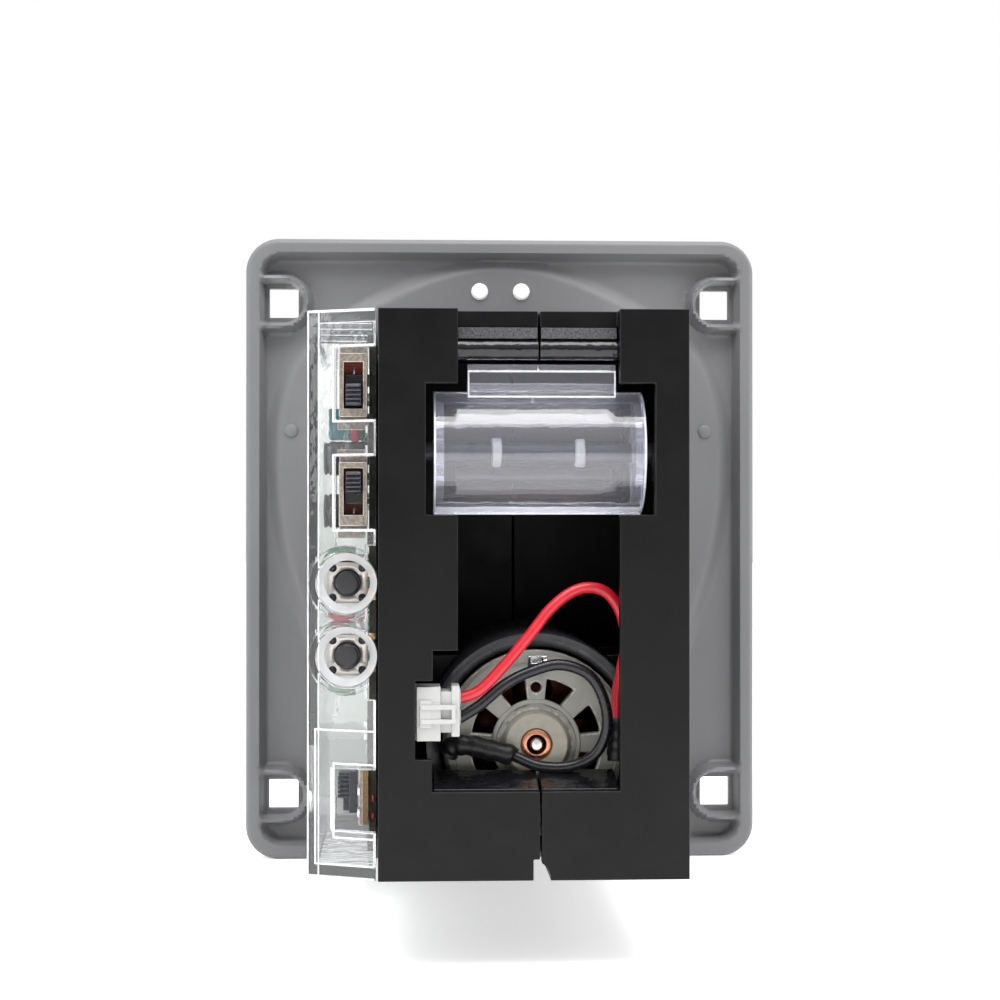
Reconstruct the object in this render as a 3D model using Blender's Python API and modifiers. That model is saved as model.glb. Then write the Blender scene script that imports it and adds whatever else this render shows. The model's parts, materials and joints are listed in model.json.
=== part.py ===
"""Bill validator for a vertical panel: a bezel with a bill slot, a two-shell housing behind it,
a geared motor that drives the bill rollers, and the electronics under a clear side cover.

Frame: +Z up, the bezel's front faces +Y and the housing's rear faces -Y. X = 0 is the middle of
the bezel and Z = 0 its bottom edge. Sizes are in millimetres. A depth is measured forward from the
housing's rear face, so depth 0 is the rear and DEPTH is the tip of the snout.
"""

import math

import bmesh
import bpy
from mathutils import Matrix, Vector

MM = 0.001

# Overall and bezel
DEPTH = 142.0
BEZEL_WIDTH, BEZEL_HEIGHT = 97.0, 118.0
BEZEL_BACK, BEZEL_FLOOR, BEZEL_FRONT = 100.0, 103.5, 106.0
BEZEL_RIM, BEZEL_CORNER = 3.2, 6.3
BOLT_PITCH_X, BOLT_PITCH_Z, BOLT_HOLE = 83.0, 94.0, 5.6
BEZEL_MIDDLE = BEZEL_HEIGHT / 2
SNOUT_WALL = 2.5

# Housing
SEAM_X, SEAM_GAP = 0.9, 0.15
SHELL_LEFT, SHELL_RIGHT = -22.4, 22.3
SHELL_BOTTOM, SHELL_TOP, SHELL_FRONT = 13.1, 95.0, 99.7
WALL = 2.0
ROOF = 2.4
INNER_TOP = SHELL_TOP - ROOF
INNER_BOTTOM = SHELL_BOTTOM + WALL
HINGE_X, HINGE_Z = 1.05, 14.6
PIN_R, KNUCKLE_R = 0.8, 1.45

# Bill path: it comes in along the seam plane, turns through a quarter circle and leaves to the right
PATH_HALF = 1.1
GUIDE = 1.8
TURN_R, TURN_DEPTH = 10.0, 93.5
TURN_X = SEAM_X + TURN_R
GUIDE_BOTTOM, GUIDE_TOP = 24.5, 92.3
GUIDE_FRONT = 138.5

# Motor and gears
MOTOR_Z, MOTOR_R = 31.5, 13.85
BELL_BACK, BELL_FRONT, CAN_FRONT = 11.0, 14.6, 49.0
FLUX_RING_R, FLUX_RING_INSIDE = 16.5, 14.15
FLUX_RING_DEPTHS = (12.4, 48.6)
GEARHEAD_R, GEARHEAD_FRONT = 15.2, 74.1
TEETH = 16
SPUR_R, BEVEL_R = 3.5, 4.0
TRANSFER_X = SEAM_X - 2 * SPUR_R
DRIVE_DEPTH = 112.0
DRIVE_ROLLER_R, PINCH_ROLLER_R = 7.0, 4.0
PINCH_X = 5.2
ROLLER_ROWS = ((46.0, 56.0), (64.0, 74.0))

# Hood and its spindle
SPINDLE_DEPTH, SPINDLE_Z, SPINDLE_R = 9.3, 74.55, 1.5
HOOD_R, HOOD_WALL = 9.0, 1.5
HOOD_LEFT, HOOD_RIGHT = -14.4, 16.2

# Electronics under the side cover
BOARD_X = (-23.8, -22.7)
COVER_LEFT, COVER_WALL = -32.7, 1.75
BUTTON_X, BUTTON_ROWS = -26.96, (55.45, 44.84)


def place(x, depth, z):
    """World position in metres of a point given by x, depth and z in millimetres."""
    return Vector((x, depth - DEPTH / 2, z)) * MM


TURNS = {
    "X": (0, math.pi / 2, 0),
    "D": (-math.pi / 2, 0, 0),
    "Z": (0, 0, 0),
    "-Z": (math.pi, 0, 0),
}
FLAT_TURNS = {
    "X": (math.pi / 2, 0, math.pi / 2),
    "D": (math.pi / 2, 0, 0),
    "Z": (0, 0, 0),
}


def clear_scene():
    for thing in list(bpy.data.objects):
        bpy.data.objects.remove(thing)


def new_collection(name):
    made = bpy.data.collections.new(name)
    bpy.context.scene.collection.children.link(made)
    return made


def material(name, colour, roughness, metallic=0.0, transmission=0.0):
    made = bpy.data.materials.new(name)
    made.use_nodes = True
    shader = made.node_tree.nodes["Principled BSDF"]
    shader.inputs["Base Color"].default_value = (*colour, 1.0)
    shader.inputs["Roughness"].default_value = roughness
    shader.inputs["Metallic"].default_value = metallic
    shader.inputs["Transmission Weight"].default_value = transmission
    return made


clear_scene()
PARTS = new_collection("bill_validator")
CUTTERS = new_collection("cutters")
GREY = material("grey_plastic", (0.17, 0.17, 0.18), 0.5)
BLACK = material("black_plastic", (0.012, 0.012, 0.014), 0.35)
CLEAR = material("clear_polycarbonate", (0.9, 0.92, 0.93), 0.05, transmission=1.0)
WHITE = material("white_nylon", (0.75, 0.75, 0.72), 0.4)
BELL = material("bell_plastic", (0.33, 0.32, 0.27), 0.45)
STEEL = material("steel", (0.55, 0.54, 0.52), 0.3, metallic=1.0)
BRONZE = material("bronze", (0.6, 0.27, 0.15), 0.35, metallic=1.0)
COPPER = material("copper", (0.7, 0.3, 0.15), 0.35, metallic=1.0)
CAN = material("motor_can_steel", (0.12, 0.12, 0.12), 0.4, metallic=1.0)
RUBBER = material("rubber", (0.03, 0.03, 0.03), 0.8)
RED = material("red_pvc", (0.65, 0.02, 0.03), 0.4)
BLACK_PVC = material("black_pvc", (0.01, 0.01, 0.01), 0.4)
BOARD = material("board", (0.02, 0.12, 0.05), 0.5)
KNOB = material("knob_black", (0.015, 0.015, 0.017), 0.5)


def add(name, mesh, finish, at=(0, 0, 0), turn=(0, 0, 0)):
    """A new part object, with its mesh in metres and its place in millimetres."""
    thing = bpy.data.objects.new(name, mesh)
    PARTS.objects.link(thing)
    thing.location = place(*at)
    thing.rotation_euler = turn
    mesh.materials.append(finish)
    return thing


def block(name, x, depth, z, finish):
    """A box between two x values, two depths and two z values."""
    mesh = bpy.data.meshes.new(name)
    shape = bmesh.new()
    size = [abs(pair[1] - pair[0]) * MM for pair in (x, depth, z)]
    bmesh.ops.create_cube(shape, size=1.0, matrix=Matrix.Diagonal((*size, 1.0)))
    shape.to_mesh(mesh)
    shape.free()
    middle = [sum(pair) / 2 for pair in (x, depth, z)]
    return add(name, mesh, finish, middle)


def rod(name, start, length, radius, finish, axis="D", sides=24):
    """A cylinder that runs from start along X, depth (D) or Z."""
    mesh = bpy.data.meshes.new(name)
    shape = bmesh.new()
    bmesh.ops.create_cone(
        shape,
        cap_ends=True,
        segments=sides,
        radius1=radius * MM,
        radius2=radius * MM,
        depth=length * MM,
    )
    shape.to_mesh(mesh)
    shape.free()
    mesh.shade_smooth()
    mesh.set_sharp_from_angle(angle=0.6)
    middle = list(start)
    middle["XDZ".index(axis)] += length / 2
    return add(name, mesh, finish, middle, TURNS[axis])


def turned(name, at, profile, finish, axis="D", steps=32):
    """A turned shape. The profile is a closed loop of (radius, height) pairs, or an open one that
    starts and ends on the axis, and it runs down its outer side."""
    mesh = bpy.data.meshes.new(name)
    shape = bmesh.new()
    points = [shape.verts.new((radius * MM, 0, height * MM)) for radius, height in profile]
    for first, second in zip(points, points[1:]):
        shape.edges.new((first, second))
    if profile[0][0] > 0:
        shape.edges.new((points[-1], points[0]))
    shape.to_mesh(mesh)
    shape.free()
    thing = add(name, mesh, finish, at, TURNS[axis])
    screw = thing.modifiers.new("turning", "SCREW")
    screw.steps = steps
    screw.render_steps = steps
    screw.use_merge_vertices = True
    screw.merge_threshold = 0.00001
    return thing


def ring(name, at, outer, inner, height, finish, axis="D", steps=32):
    """A plain tube of the given height, from at along its axis."""
    profile = [(outer, height), (outer, 0), (inner, 0), (inner, height)]
    return turned(name, at, profile, finish, axis, steps)


def curve_mesh(name, curve, turn, at):
    """Turns a curve into a closed mesh object with welded caps."""
    holder = bpy.data.objects.new(name + "_curve", curve)
    bpy.context.scene.collection.objects.link(holder)
    holder.location = place(*at)
    holder.rotation_euler = turn
    bpy.context.view_layer.update()
    evaluated = holder.evaluated_get(bpy.context.evaluated_depsgraph_get())
    mesh = bpy.data.meshes.new_from_object(evaluated)
    bpy.data.objects.remove(holder)
    shape = bmesh.new()
    shape.from_mesh(mesh)
    bmesh.ops.remove_doubles(shape, verts=shape.verts, dist=0.000002)
    bmesh.ops.dissolve_limit(shape, angle_limit=0.001, verts=shape.verts, edges=shape.edges)
    bmesh.ops.recalc_face_normals(shape, faces=shape.faces)
    shape.to_mesh(mesh)
    shape.free()
    mesh.materials.clear()
    return mesh


def prism(name, outline, axis, span, finish):
    """A flat outline extruded along X, depth (D) or Z between the two values in span. The outline
    is in (depth, z), (x, z) or (x, depth)."""
    curve = bpy.data.curves.new(name, "CURVE")
    curve.dimensions = "2D"
    curve.fill_mode = "BOTH"
    curve.extrude = abs(span[1] - span[0]) / 2 * MM
    spline = curve.splines.new("POLY")
    spline.points.add(len(outline) - 1)
    spline.use_cyclic_u = True
    for point, (first, second) in zip(spline.points, outline):
        point.co = (first * MM, second * MM, 0, 1)
    middle = sum(span) / 2
    at = {"X": (middle, DEPTH / 2, 0), "D": (0, middle, 0), "Z": (0, DEPTH / 2, middle)}[axis]
    if axis == "X":
        shift = Vector((-DEPTH / 2, 0, 0)) * MM
    elif axis == "Z":
        shift = Vector((0, -DEPTH / 2, 0)) * MM
    else:
        shift = Vector((0, 0, 0))
    mesh = curve_mesh(name, curve, FLAT_TURNS[axis], at)
    mesh.transform(Matrix.Translation(shift))
    return add(name, mesh, finish, at, FLAT_TURNS[axis])


def wire(name, route, radius, finish, samples):
    """A round wire along a smooth curve through the route's points."""
    curve = bpy.data.curves.new(name, "CURVE")
    curve.dimensions = "3D"
    curve.bevel_depth = radius * MM
    curve.bevel_resolution = 2
    curve.use_fill_caps = True
    points = smooth_route(route, samples)
    spline = curve.splines.new("POLY")
    spline.points.add(len(points) - 1)
    for point, position in zip(spline.points, points):
        point.co = (*(Vector(position) * MM), 1)
    mesh = curve_mesh(name, curve, (0, 0, 0), (0, DEPTH / 2, 0))
    mesh.transform(Matrix.Translation(Vector((0, -DEPTH / 2, 0)) * MM))
    mesh.shade_smooth()
    return add(name, mesh, finish, (0, DEPTH / 2, 0))


def stretch(a, b, c, d, samples):
    """Catmull-Rom points from b up to c, without c itself."""
    points = []
    for step in range(samples):
        t = step / samples
        square = (2 * a - 5 * b + 4 * c - d) * t**2
        cube = (3 * b - a - 3 * c + d) * t**3
        points.append((2 * b + (c - a) * t + square + cube) / 2)
    return points


def smooth_route(route, samples):
    """A smooth open curve through a list of places, with samples points in each stretch."""
    ends = [Vector(p) for p in route]
    padded = [2 * ends[0] - ends[1], *ends, 2 * ends[-1] - ends[-2]]
    points = []
    for i in range(1, len(padded) - 2):
        points += stretch(*padded[i - 1 : i + 3], samples)
    points.append(ends[-1])
    return points


def cut(target, *tools):
    """Takes each tool's volume away from the target."""
    for tool in tools:
        step = target.modifiers.new("cut_" + tool.name, "BOOLEAN")
        step.operation = "DIFFERENCE"
        step.object = tool
        set_aside(tool)
    return target


def join(target, *tools):
    """Adds each tool's volume to the target, as one body."""
    for tool in tools:
        step = target.modifiers.new("join_" + tool.name, "BOOLEAN")
        step.operation = "UNION"
        step.object = tool
        set_aside(tool)
    return target


def set_aside(tool):
    if tool.name in PARTS.objects:
        PARTS.objects.unlink(tool)
        CUTTERS.objects.link(tool)
    tool.hide_render = True
    tool.display_type = "WIRE"


def arc(middle, radius, start, end, steps):
    """Points of a circular arc, with its angles in degrees."""
    points = []
    for i in range(steps + 1):
        angle = math.radians(start + (end - start) * i / steps)
        points.append(
            (middle[0] + radius * math.cos(angle), middle[1] + radius * math.sin(angle))
        )
    return points


def rounded_box(x, z, radius, steps=4):
    """A rectangle with round corners, as an outline."""
    corners = (
        ((x[1] - radius, z[1] - radius), 0),
        ((x[0] + radius, z[1] - radius), 90),
        ((x[0] + radius, z[0] + radius), 180),
        ((x[1] - radius, z[0] + radius), 270),
    )
    points = []
    for middle, start in corners:
        points += arc(middle, radius, start, start + 90, steps)
    return points


def hinge_at(name, at, things):
    """Hangs things on an empty that lies on their joint's axis."""
    pivot = bpy.data.objects.new(name, None)
    PARTS.objects.link(pivot)
    pivot.location = place(*at)
    bpy.context.view_layer.update()
    for thing in things:
        thing.parent = pivot
        thing.matrix_parent_inverse = pivot.matrix_world.inverted()


# ---------------------------------------------------------------- bezel

SHIELD_HALF = (
    (9.0, 114.2),
    (28.5, 105.9),
    (40.0, 97.0),
    (44.6, 84.0),
    (44.8, 70.0),
    (42.6, 56.0),
    (37.0, 38.7),
    (29.5, 17.0),
    (20.0, 7.5),
    (7.0, 6.6),
)
SHIELD_MIDDLE = Vector((0.0, 60.5))
SHIELD_SAMPLES = 3


def shield_outline():
    """The shield round the snout, as a smooth closed curve through its symmetric points."""
    right = [Vector(p) for p in SHIELD_HALF]
    left = [Vector((-p.x, p.y)) for p in reversed(right)]
    ends = right + left
    count = len(ends)
    points = []
    for i in range(count):
        points += stretch(*(ends[(i + k) % count] for k in (-1, 0, 1, 2)), SHIELD_SAMPLES)
    return points


SNOUT_RINGS = (
    (106.3, 1.0, 1.0),
    (112.0, 0.93, 0.98),
    (122.0, 0.68, 0.91),
    (133.0, 0.47, 0.85),
    (140.6, 0.39, 0.815),
    (142.0, 0.355, 0.795),
)


def lofted(name, rings, inset, finish):
    """The snout's form: the shield outline, smaller at each ring, and pulled in by inset."""
    mesh = bpy.data.meshes.new(name)
    shape = bmesh.new()
    loops = []
    for depth, narrow, low in rings:
        loop = []
        for point in shield_outline():
            off = point - SHIELD_MIDDLE
            spread = Vector((off.x * narrow, off.y * low))
            spread -= spread.normalized() * inset
            at = SHIELD_MIDDLE + spread
            loop.append(shape.verts.new(place(at.x, depth, at.y)))
        loops.append(loop)
    count = len(loops[0])
    for near, far in zip(loops, loops[1:]):
        for i in range(count):
            k = (i + 1) % count
            shape.faces.new((near[i], near[k], far[k], far[i]))
    shape.faces.new(loops[0])
    shape.faces.new(loops[-1])
    bmesh.ops.recalc_face_normals(shape, faces=shape.faces)
    shape.to_mesh(mesh)
    shape.free()
    thing = add(name, mesh, finish, (0, DEPTH / 2, 0))
    return thing


def bolt_places():
    for x in (-BOLT_PITCH_X / 2, BOLT_PITCH_X / 2):
        for z in (BEZEL_MIDDLE - BOLT_PITCH_Z / 2, BEZEL_MIDDLE + BOLT_PITCH_Z / 2):
            yield x, z


def stadium(x, z, radius):
    """An outline with a round end towards the middle and a square end at the bezel's side."""
    side = 1 if x > 0 else -1
    edge = side * (BEZEL_WIDTH / 2 - 1)
    start = 90 if side > 0 else 270
    points = arc((x, z), radius, start, start + 180, 8)
    return points + [(edge, points[-1][1]), (edge, points[0][1])]


SCREW_X, SCREW_ROWS = -17.6, (19.0, 54.0, 89.0)
LED_X, LED_Z = 4.0, 108.3


def make_bezel():
    half = BEZEL_WIDTH / 2
    inner = half - BEZEL_RIM
    outline = rounded_box((-half, half), (0, BEZEL_HEIGHT), BEZEL_CORNER, 5)
    plate = prism("bezel_plate", outline, "D", (BEZEL_BACK, BEZEL_FRONT), GREY)
    channel = rounded_box(
        (-inner, inner),
        (BEZEL_RIM, BEZEL_HEIGHT - BEZEL_RIM),
        BEZEL_CORNER - BEZEL_RIM + 0.6,
        4,
    )
    cut(plate, prism("channel", channel, "D", (BEZEL_BACK - 2, BEZEL_FLOOR), GREY))
    shield = prism("shield", shield_outline(), "D", (BEZEL_FLOOR - 1.0, BEZEL_FLOOR + 1), GREY)
    join(plate, shield)
    for i, (x, z) in enumerate(bolt_places()):
        boss = prism(
            f"boss_{i}", stadium(x, z, 5.3), "D", (BEZEL_BACK + 0.2, BEZEL_FLOOR + 1), GREY
        )
        pocket = prism(
            f"boss_pocket_{i}", stadium(x, z, 4.05), "D", (BEZEL_BACK - 1, BEZEL_FLOOR), GREY
        )
        hole = BOLT_HOLE / 2
        square = block(
            f"bolt_hole_{i}",
            (x - hole, x + hole),
            (BEZEL_BACK - 1, BEZEL_FRONT + 1),
            (z - hole, z + hole),
            GREY,
        )
        join(plate, boss)
        cut(plate, pocket, square)
    rim = prism("rim", outline, "D", (BEZEL_BACK, BEZEL_FLOOR + 1), GREY)
    cut(rim, prism("rim_inside", channel, "D", (BEZEL_BACK - 2, BEZEL_FRONT), GREY))
    join(plate, rim)
    join(plate, block("landing", (-24.0, 23.6), (BEZEL_BACK, 104.5), (12.4, 96.4), GREY))
    window = block("bezel_window", (-16.0, 13.0), (98.0, 108.0), (22.0, 94.5), GREY)
    cut(plate, window)
    for i, z in enumerate(SCREW_ROWS):
        cut(plate, rod(f"screw_hole_{i}", (SCREW_X, 98.0, z), 7.0, 1.45, GREY, sides=16))
    for side in (-1, 1):
        cut(plate, rod(f"led_hole_{side}", (side * LED_X, 98.0, LED_Z), 10.0, 1.9, GREY, sides=20))

    snout = lofted("bezel_snout", SNOUT_RINGS, 0.0, GREY)
    inner_rings = [(100.0, 1.0, 1.0), *SNOUT_RINGS[:-2], (139.5, 0.4, 0.82)]
    cut(snout, lofted("snout_inside", inner_rings, SNOUT_WALL, GREY))
    mouth = (SEAM_X - 2.5, SEAM_X + 2.5)
    cut(snout, block("snout_slot", mouth, (138.0, 144.0), (23.6, 94.4), GREY))
    for side, word in ((-1, "left"), (1, "right")):
        rod(f"led_window_{word}", (side * LED_X, 101.6, LED_Z), 7.0, 1.6, CLEAR, sides=20)


# ---------------------------------------------------------------- housing shells

LEFT_OPENING = (
    (5.0, 25.8),
    (-14.7, 25.8),
    (-14.7, 30.4),
    (-17.1, 30.4),
    (-17.1, 41.7),
    (-14.6, 41.7),
    (-14.6, 46.0),
    (-11.0, 46.0),
    (-11.0, 65.4),
    (-15.6, 65.4),
    (-15.6, 84.3),
    (-11.0, 84.3),
    (-11.0, INNER_TOP),
    (5.0, INNER_TOP),
)
RIGHT_OPENING = (
    (-5.0, 25.8),
    (12.3, 25.8),
    (12.3, 65.4),
    (17.4, 65.4),
    (17.4, 84.3),
    (12.3, 84.3),
    (12.3, INNER_TOP),
    (-5.0, INNER_TOP),
)
LEDGE = ((1.5, 23.4), (9.0, 24.6), (9.0, 27.7), (8.3, 27.7), (1.5, 25.8))
BULKHEAD = (74.4, 76.4)
RIB_DEPTHS = ((20.0, 22.0), (40.0, 42.0))
LEFT_KNUCKLES = ((52.0, 60.0), (84.0, 92.0))
RIGHT_KNUCKLES = ((60.3, 68.0), (76.0, 83.7))
PIN_DEPTHS = (51.0, 93.0)
SLOT_DEPTHS = (80.9, 86.1)
SLOT_Z = (25.9, 92.1)


def knuckles(shell, side, mine, theirs):
    """The hinge's knuckles under the seam, with room cut for the other shell's."""
    for i, (near, far) in enumerate(theirs):
        room = rod(f"room_{side}_{i}", (HINGE_X, near - 0.3, HINGE_Z), far - near + 0.6, 1.85, BLACK)
        cut(shell, room)
    for i, (near, far) in enumerate(mine):
        knuckle = rod(f"knuckle_{side}_{i}", (HINGE_X, near, HINGE_Z), far - near, KNUCKLE_R, BLACK)
        web = (HINGE_X - 3.0, HINGE_X - 0.3) if side == "left" else (HINGE_X + 0.3, HINGE_X + 3.0)
        strap = block(f"strap_{side}_{i}", web, (near, far), (HINGE_Z - 0.6, HINGE_Z + 1.2), BLACK)
        join(shell, knuckle, strap)
    near, far = PIN_DEPTHS[0] - 2.0, PIN_DEPTHS[1] + 3.0
    cut(shell, rod(f"pin_bore_{side}", (HINGE_X, near, HINGE_Z), far - near, PIN_R + 0.15, BLACK, sides=16))


def shell_body(name, outer, side):
    """One half of the housing: an open box with a rear opening, ribs and a bulkhead."""
    left = side == "left"
    seam = SEAM_X - SEAM_GAP if left else SEAM_X + SEAM_GAP
    span = (outer, seam) if left else (seam, outer)
    past = SEAM_X + 6 if left else SEAM_X - 6
    wall = outer + WALL if left else outer - WALL
    inside = (wall, past) if left else (past, wall)
    shell = block(name, span, (0, SHELL_FRONT), (SHELL_BOTTOM, SHELL_TOP), BLACK)
    cut(
        shell,
        block(f"{name}_inside", inside, (WALL, SHELL_FRONT - WALL), (INNER_BOTTOM, INNER_TOP), BLACK),
    )
    flange = -14.0 if left else 15.0
    mouth = (flange, past) if left else (past, flange)
    cut(shell, block(f"{name}_front", mouth, (97.0, 101.0), (INNER_BOTTOM, INNER_TOP), BLACK))
    opening = LEFT_OPENING if left else RIGHT_OPENING
    cut(shell, prism(f"{name}_opening", opening, "D", (-1.0, WALL + 0.5), BLACK))
    back = (-11.0, past) if left else (past, 12.3)
    cut(shell, block(f"{name}_cut_back", back, (-1.0, 4.0), (INNER_TOP - 1, SHELL_TOP + 1), BLACK))

    bar = (-13.0, seam) if left else (seam, 14.3)
    join(shell, rod(f"{name}_bar", (bar[0], 4.5, 89.4), bar[1] - bar[0], 1.45, BLACK, "X", 16))
    lug = (-14.0, -11.3) if left else (12.6, 15.3)
    join(shell, block(f"{name}_lug", lug, (1.5, 6.4), (86.6, 93.0), BLACK))
    ledge = (-14.7, seam) if left else (seam, 12.3)
    join(shell, prism(f"{name}_ledge", LEDGE, "X", ledge, BLACK))
    inner = (wall - 0.5, seam) if left else (seam, wall + 0.5)
    for i, depths in enumerate(RIB_DEPTHS):
        join(shell, block(f"{name}_rib_{i}", inner, depths, (INNER_BOTTOM - 0.5, 44.0), BLACK))
    near, far = FLUX_RING_DEPTHS
    seat = (SEAM_X, near - 0.6, MOTOR_Z)
    cut(shell, rod(f"{name}_seat", seat, far - near + 1.2, FLUX_RING_R + 0.35, BLACK, sides=48))
    plate = block(f"{name}_bulkhead", inner, BULKHEAD, (INNER_BOTTOM - 0.5, INNER_TOP + 0.5), BLACK)
    cut(plate, rod(f"{name}_shaft_hole", (SEAM_X, 73.0, MOTOR_Z), 5.0, 3.0, BLACK))
    join(shell, plate)
    return shell


def make_left_shell():
    shell = shell_body("left_shell", SHELL_LEFT, "left")
    cut(shell, rod("transfer_hole", (TRANSFER_X, 73.0, MOTOR_Z), 5.0, 1.7, BLACK))
    notch = block("left_notch", (-0.15, 8.0), (-1.0, 101.0), (12.0, 16.1), BLACK)
    cut(shell, notch)
    knuckles(shell, "left", LEFT_KNUCKLES, RIGHT_KNUCKLES)
    ear = block("left_ear", (-18.0, -16.0), (1.5, 13.5), (70.3, 78.8), BLACK)
    hole = rod("left_ear_hole", (-19.0, SPINDLE_DEPTH, SPINDLE_Z), 4.0, SPINDLE_R + 0.15, BLACK, "X")
    join(shell, cut(ear, hole))
    for i, z in enumerate(SCREW_ROWS):
        cut(shell, rod(f"flange_hole_{i}", (SCREW_X, 96.0, z), 5.0, 1.5, BLACK, sides=16))


def make_right_shell():
    shell = shell_body("right_shell", SHELL_RIGHT, "right")
    notch_side = arc((-0.6, 13.2), 2.9, 74, 0, 6)
    notch = [(-4.0, 12.0), (-4.0, 16.1), (0.2, 16.1), *notch_side, (2.3, 12.0)]
    cut(shell, prism("right_notch", notch, "D", (-1.0, 101.0), BLACK))
    knuckles(shell, "right", RIGHT_KNUCKLES, LEFT_KNUCKLES)
    ear = block("right_ear", (17.7, 19.5), (1.5, 13.5), (70.3, 76.0), BLACK)
    rest = rod("right_ear_rest", (17.0, SPINDLE_DEPTH, SPINDLE_Z), 4.0, SPINDLE_R + 0.3, BLACK, "X")
    entry = block(
        "right_ear_entry",
        (17.0, 21.0),
        (SPINDLE_DEPTH - SPINDLE_R - 0.3, SPINDLE_DEPTH + SPINDLE_R + 0.3),
        (SPINDLE_Z, 80.0),
        BLACK,
    )
    join(shell, cut(ear, rest, entry))
    cut(shell, block("exit_slot", (18.0, 25.0), SLOT_DEPTHS, SLOT_Z, BLACK))
    return shell


def make_hinge_pin():
    near, far = PIN_DEPTHS
    rod("hinge_pin", (HINGE_X, near, HINGE_Z), far - near, PIN_R, STEEL, sides=16)


# ---------------------------------------------------------------- bill guides


def flat_guide(name, x, depths, windows):
    """A flat guide wall beside the bill path, with a window for each roller."""
    guide = block(name, x, depths, (GUIDE_BOTTOM, GUIDE_TOP), BLACK)
    for i, (low, high) in enumerate(ROLLER_ROWS):
        reach = (DRIVE_DEPTH - windows, DRIVE_DEPTH + windows)
        cut(guide, block(f"{name}_window_{i}", (x[0] - 1, x[1] + 1), reach, (low - 0.6, high + 0.6), BLACK))
    return guide


def make_guides():
    left_x = (SEAM_X - PATH_HALF - GUIDE, SEAM_X - PATH_HALF)
    right_x = (SEAM_X + PATH_HALF, SEAM_X + PATH_HALF + GUIDE)
    guide = flat_guide("left_guide", left_x, (TURN_DEPTH + 0.6, GUIDE_FRONT), 6.3)
    for i, (low, high) in enumerate(((38.5, 40.5), (89.4, 91.4))):
        lug = block(f"axle_lug_{i}", (-10.0, -1.2), (107.5, 116.5), (low, high), BLACK)
        bore = rod(f"axle_bore_{i}", (TRANSFER_X, DRIVE_DEPTH, low - 1), 4.0, 1.65, BLACK, "Z")
        join(guide, cut(lug, bore))
    lug = block("transfer_lug", (-9.6, -1.2), (97.0, 99.2), (28.0, 35.0), BLACK)
    bore = rod("transfer_bore", (TRANSFER_X, 96.0, MOTOR_Z), 4.0, 1.65, BLACK)
    join(guide, cut(lug, bore))
    cut(guide, block("pinion_relief", (-3.0, -1.3), (104.8, 117.0), (26.4, 38.0), BLACK))

    guide = flat_guide("front_right_guide", right_x, (100.4, GUIDE_FRONT), 4.4)
    for i, (low, high) in enumerate(((42.0, 43.9), (76.2, 78.1))):
        lug = block(f"pinch_lug_{i}", (3.0, 8.2), (109.0, 115.0), (low, high), BLACK)
        bore = rod(f"pinch_bore_{i}", (PINCH_X, DRIVE_DEPTH, low - 1), 4.0, 1.15, BLACK, "Z")
        join(guide, cut(lug, bore))


def make_exit_guides():
    """The two walls of the quarter turn. They ride on the right shell."""
    turn = (TURN_X, TURN_DEPTH)
    far, near = TURN_R + PATH_HALF, TURN_R - PATH_HALF
    tail = 20.0
    outer = arc(turn, far + GUIDE, 180, 270, 12) + [(tail, TURN_DEPTH - far - GUIDE)]
    outer += [(tail, TURN_DEPTH - far)] + arc(turn, far, 270, 180, 12)
    inner = [(TURN_X - near, 99.4)] + arc(turn, near, 180, 270, 10) + [(tail, TURN_DEPTH - near)]
    inner += [(tail, TURN_DEPTH - near + GUIDE)] + arc(turn, near - GUIDE, 270, 180, 10)
    inner += [(TURN_X - near + GUIDE, 99.4)]
    span = (GUIDE_BOTTOM, GUIDE_TOP)
    return [
        prism("exit_guide_outer", outer, "Z", span, BLACK),
        prism("exit_guide_inner", inner, "Z", span, BLACK),
    ]


# ---------------------------------------------------------------- motor and gears


def gear_outline(radius, phase):
    """A spur gear's outline round the origin: one tooth each 360 / TEETH degrees."""
    tip, root = radius + 0.42, radius - 0.65
    pitch = 360 / TEETH
    points = []
    for i in range(TEETH):
        middle = phase + i * pitch
        for offset, length in ((-5.2, root), (-2.8, tip), (2.8, tip), (5.2, root)):
            angle = math.radians(middle + offset)
            points.append((length * math.cos(angle), length * math.sin(angle)))
    return points


def gear(name, at, radius, height, phase, finish, axis="D", bore=1.65, taper=1.0, hub=0.0):
    """A toothed wheel from at along its axis. Taper below 1 makes a bevel wheel that narrows
    upwards, and hub is the length of the round boss below it."""
    curve = bpy.data.curves.new(name, "CURVE")
    curve.dimensions = "2D"
    curve.fill_mode = "BOTH"
    curve.extrude = height / 2 * MM
    spline = curve.splines.new("POLY")
    outline = gear_outline(radius, phase)
    spline.points.add(len(outline) - 1)
    spline.use_cyclic_u = True
    for point, (first, second) in zip(spline.points, outline):
        point.co = (first * MM, second * MM, 0, 1)
    mesh = curve_mesh(name, curve, (0, 0, 0), (0, DEPTH / 2, 0))
    mesh.transform(Matrix.Translation((0, 0, height / 2 * MM)))
    for vertex in mesh.vertices:
        if vertex.co.z > height / 2 * MM:
            vertex.co.x *= taper
            vertex.co.y *= taper
    wheel = add(name, mesh, finish, at, TURNS[axis])
    if hub:
        join(wheel, core(name + "_hub", at, axis, (-hub, 0.4), radius * 0.68, finish))
    cut(wheel, core(name + "_bore", at, axis, (-hub - 1, height + 1), bore, finish))
    return wheel


def core(name, at, axis, span, radius, finish):
    """A cylinder on a wheel's own axis, between two heights above the wheel's base."""
    sign = -1 if axis == "-Z" else 1
    start = list(at)
    start["XDZ".index(axis[-1])] += min(sign * span[0], sign * span[1])
    return rod(name, start, span[1] - span[0], radius, finish, axis[-1])


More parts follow.
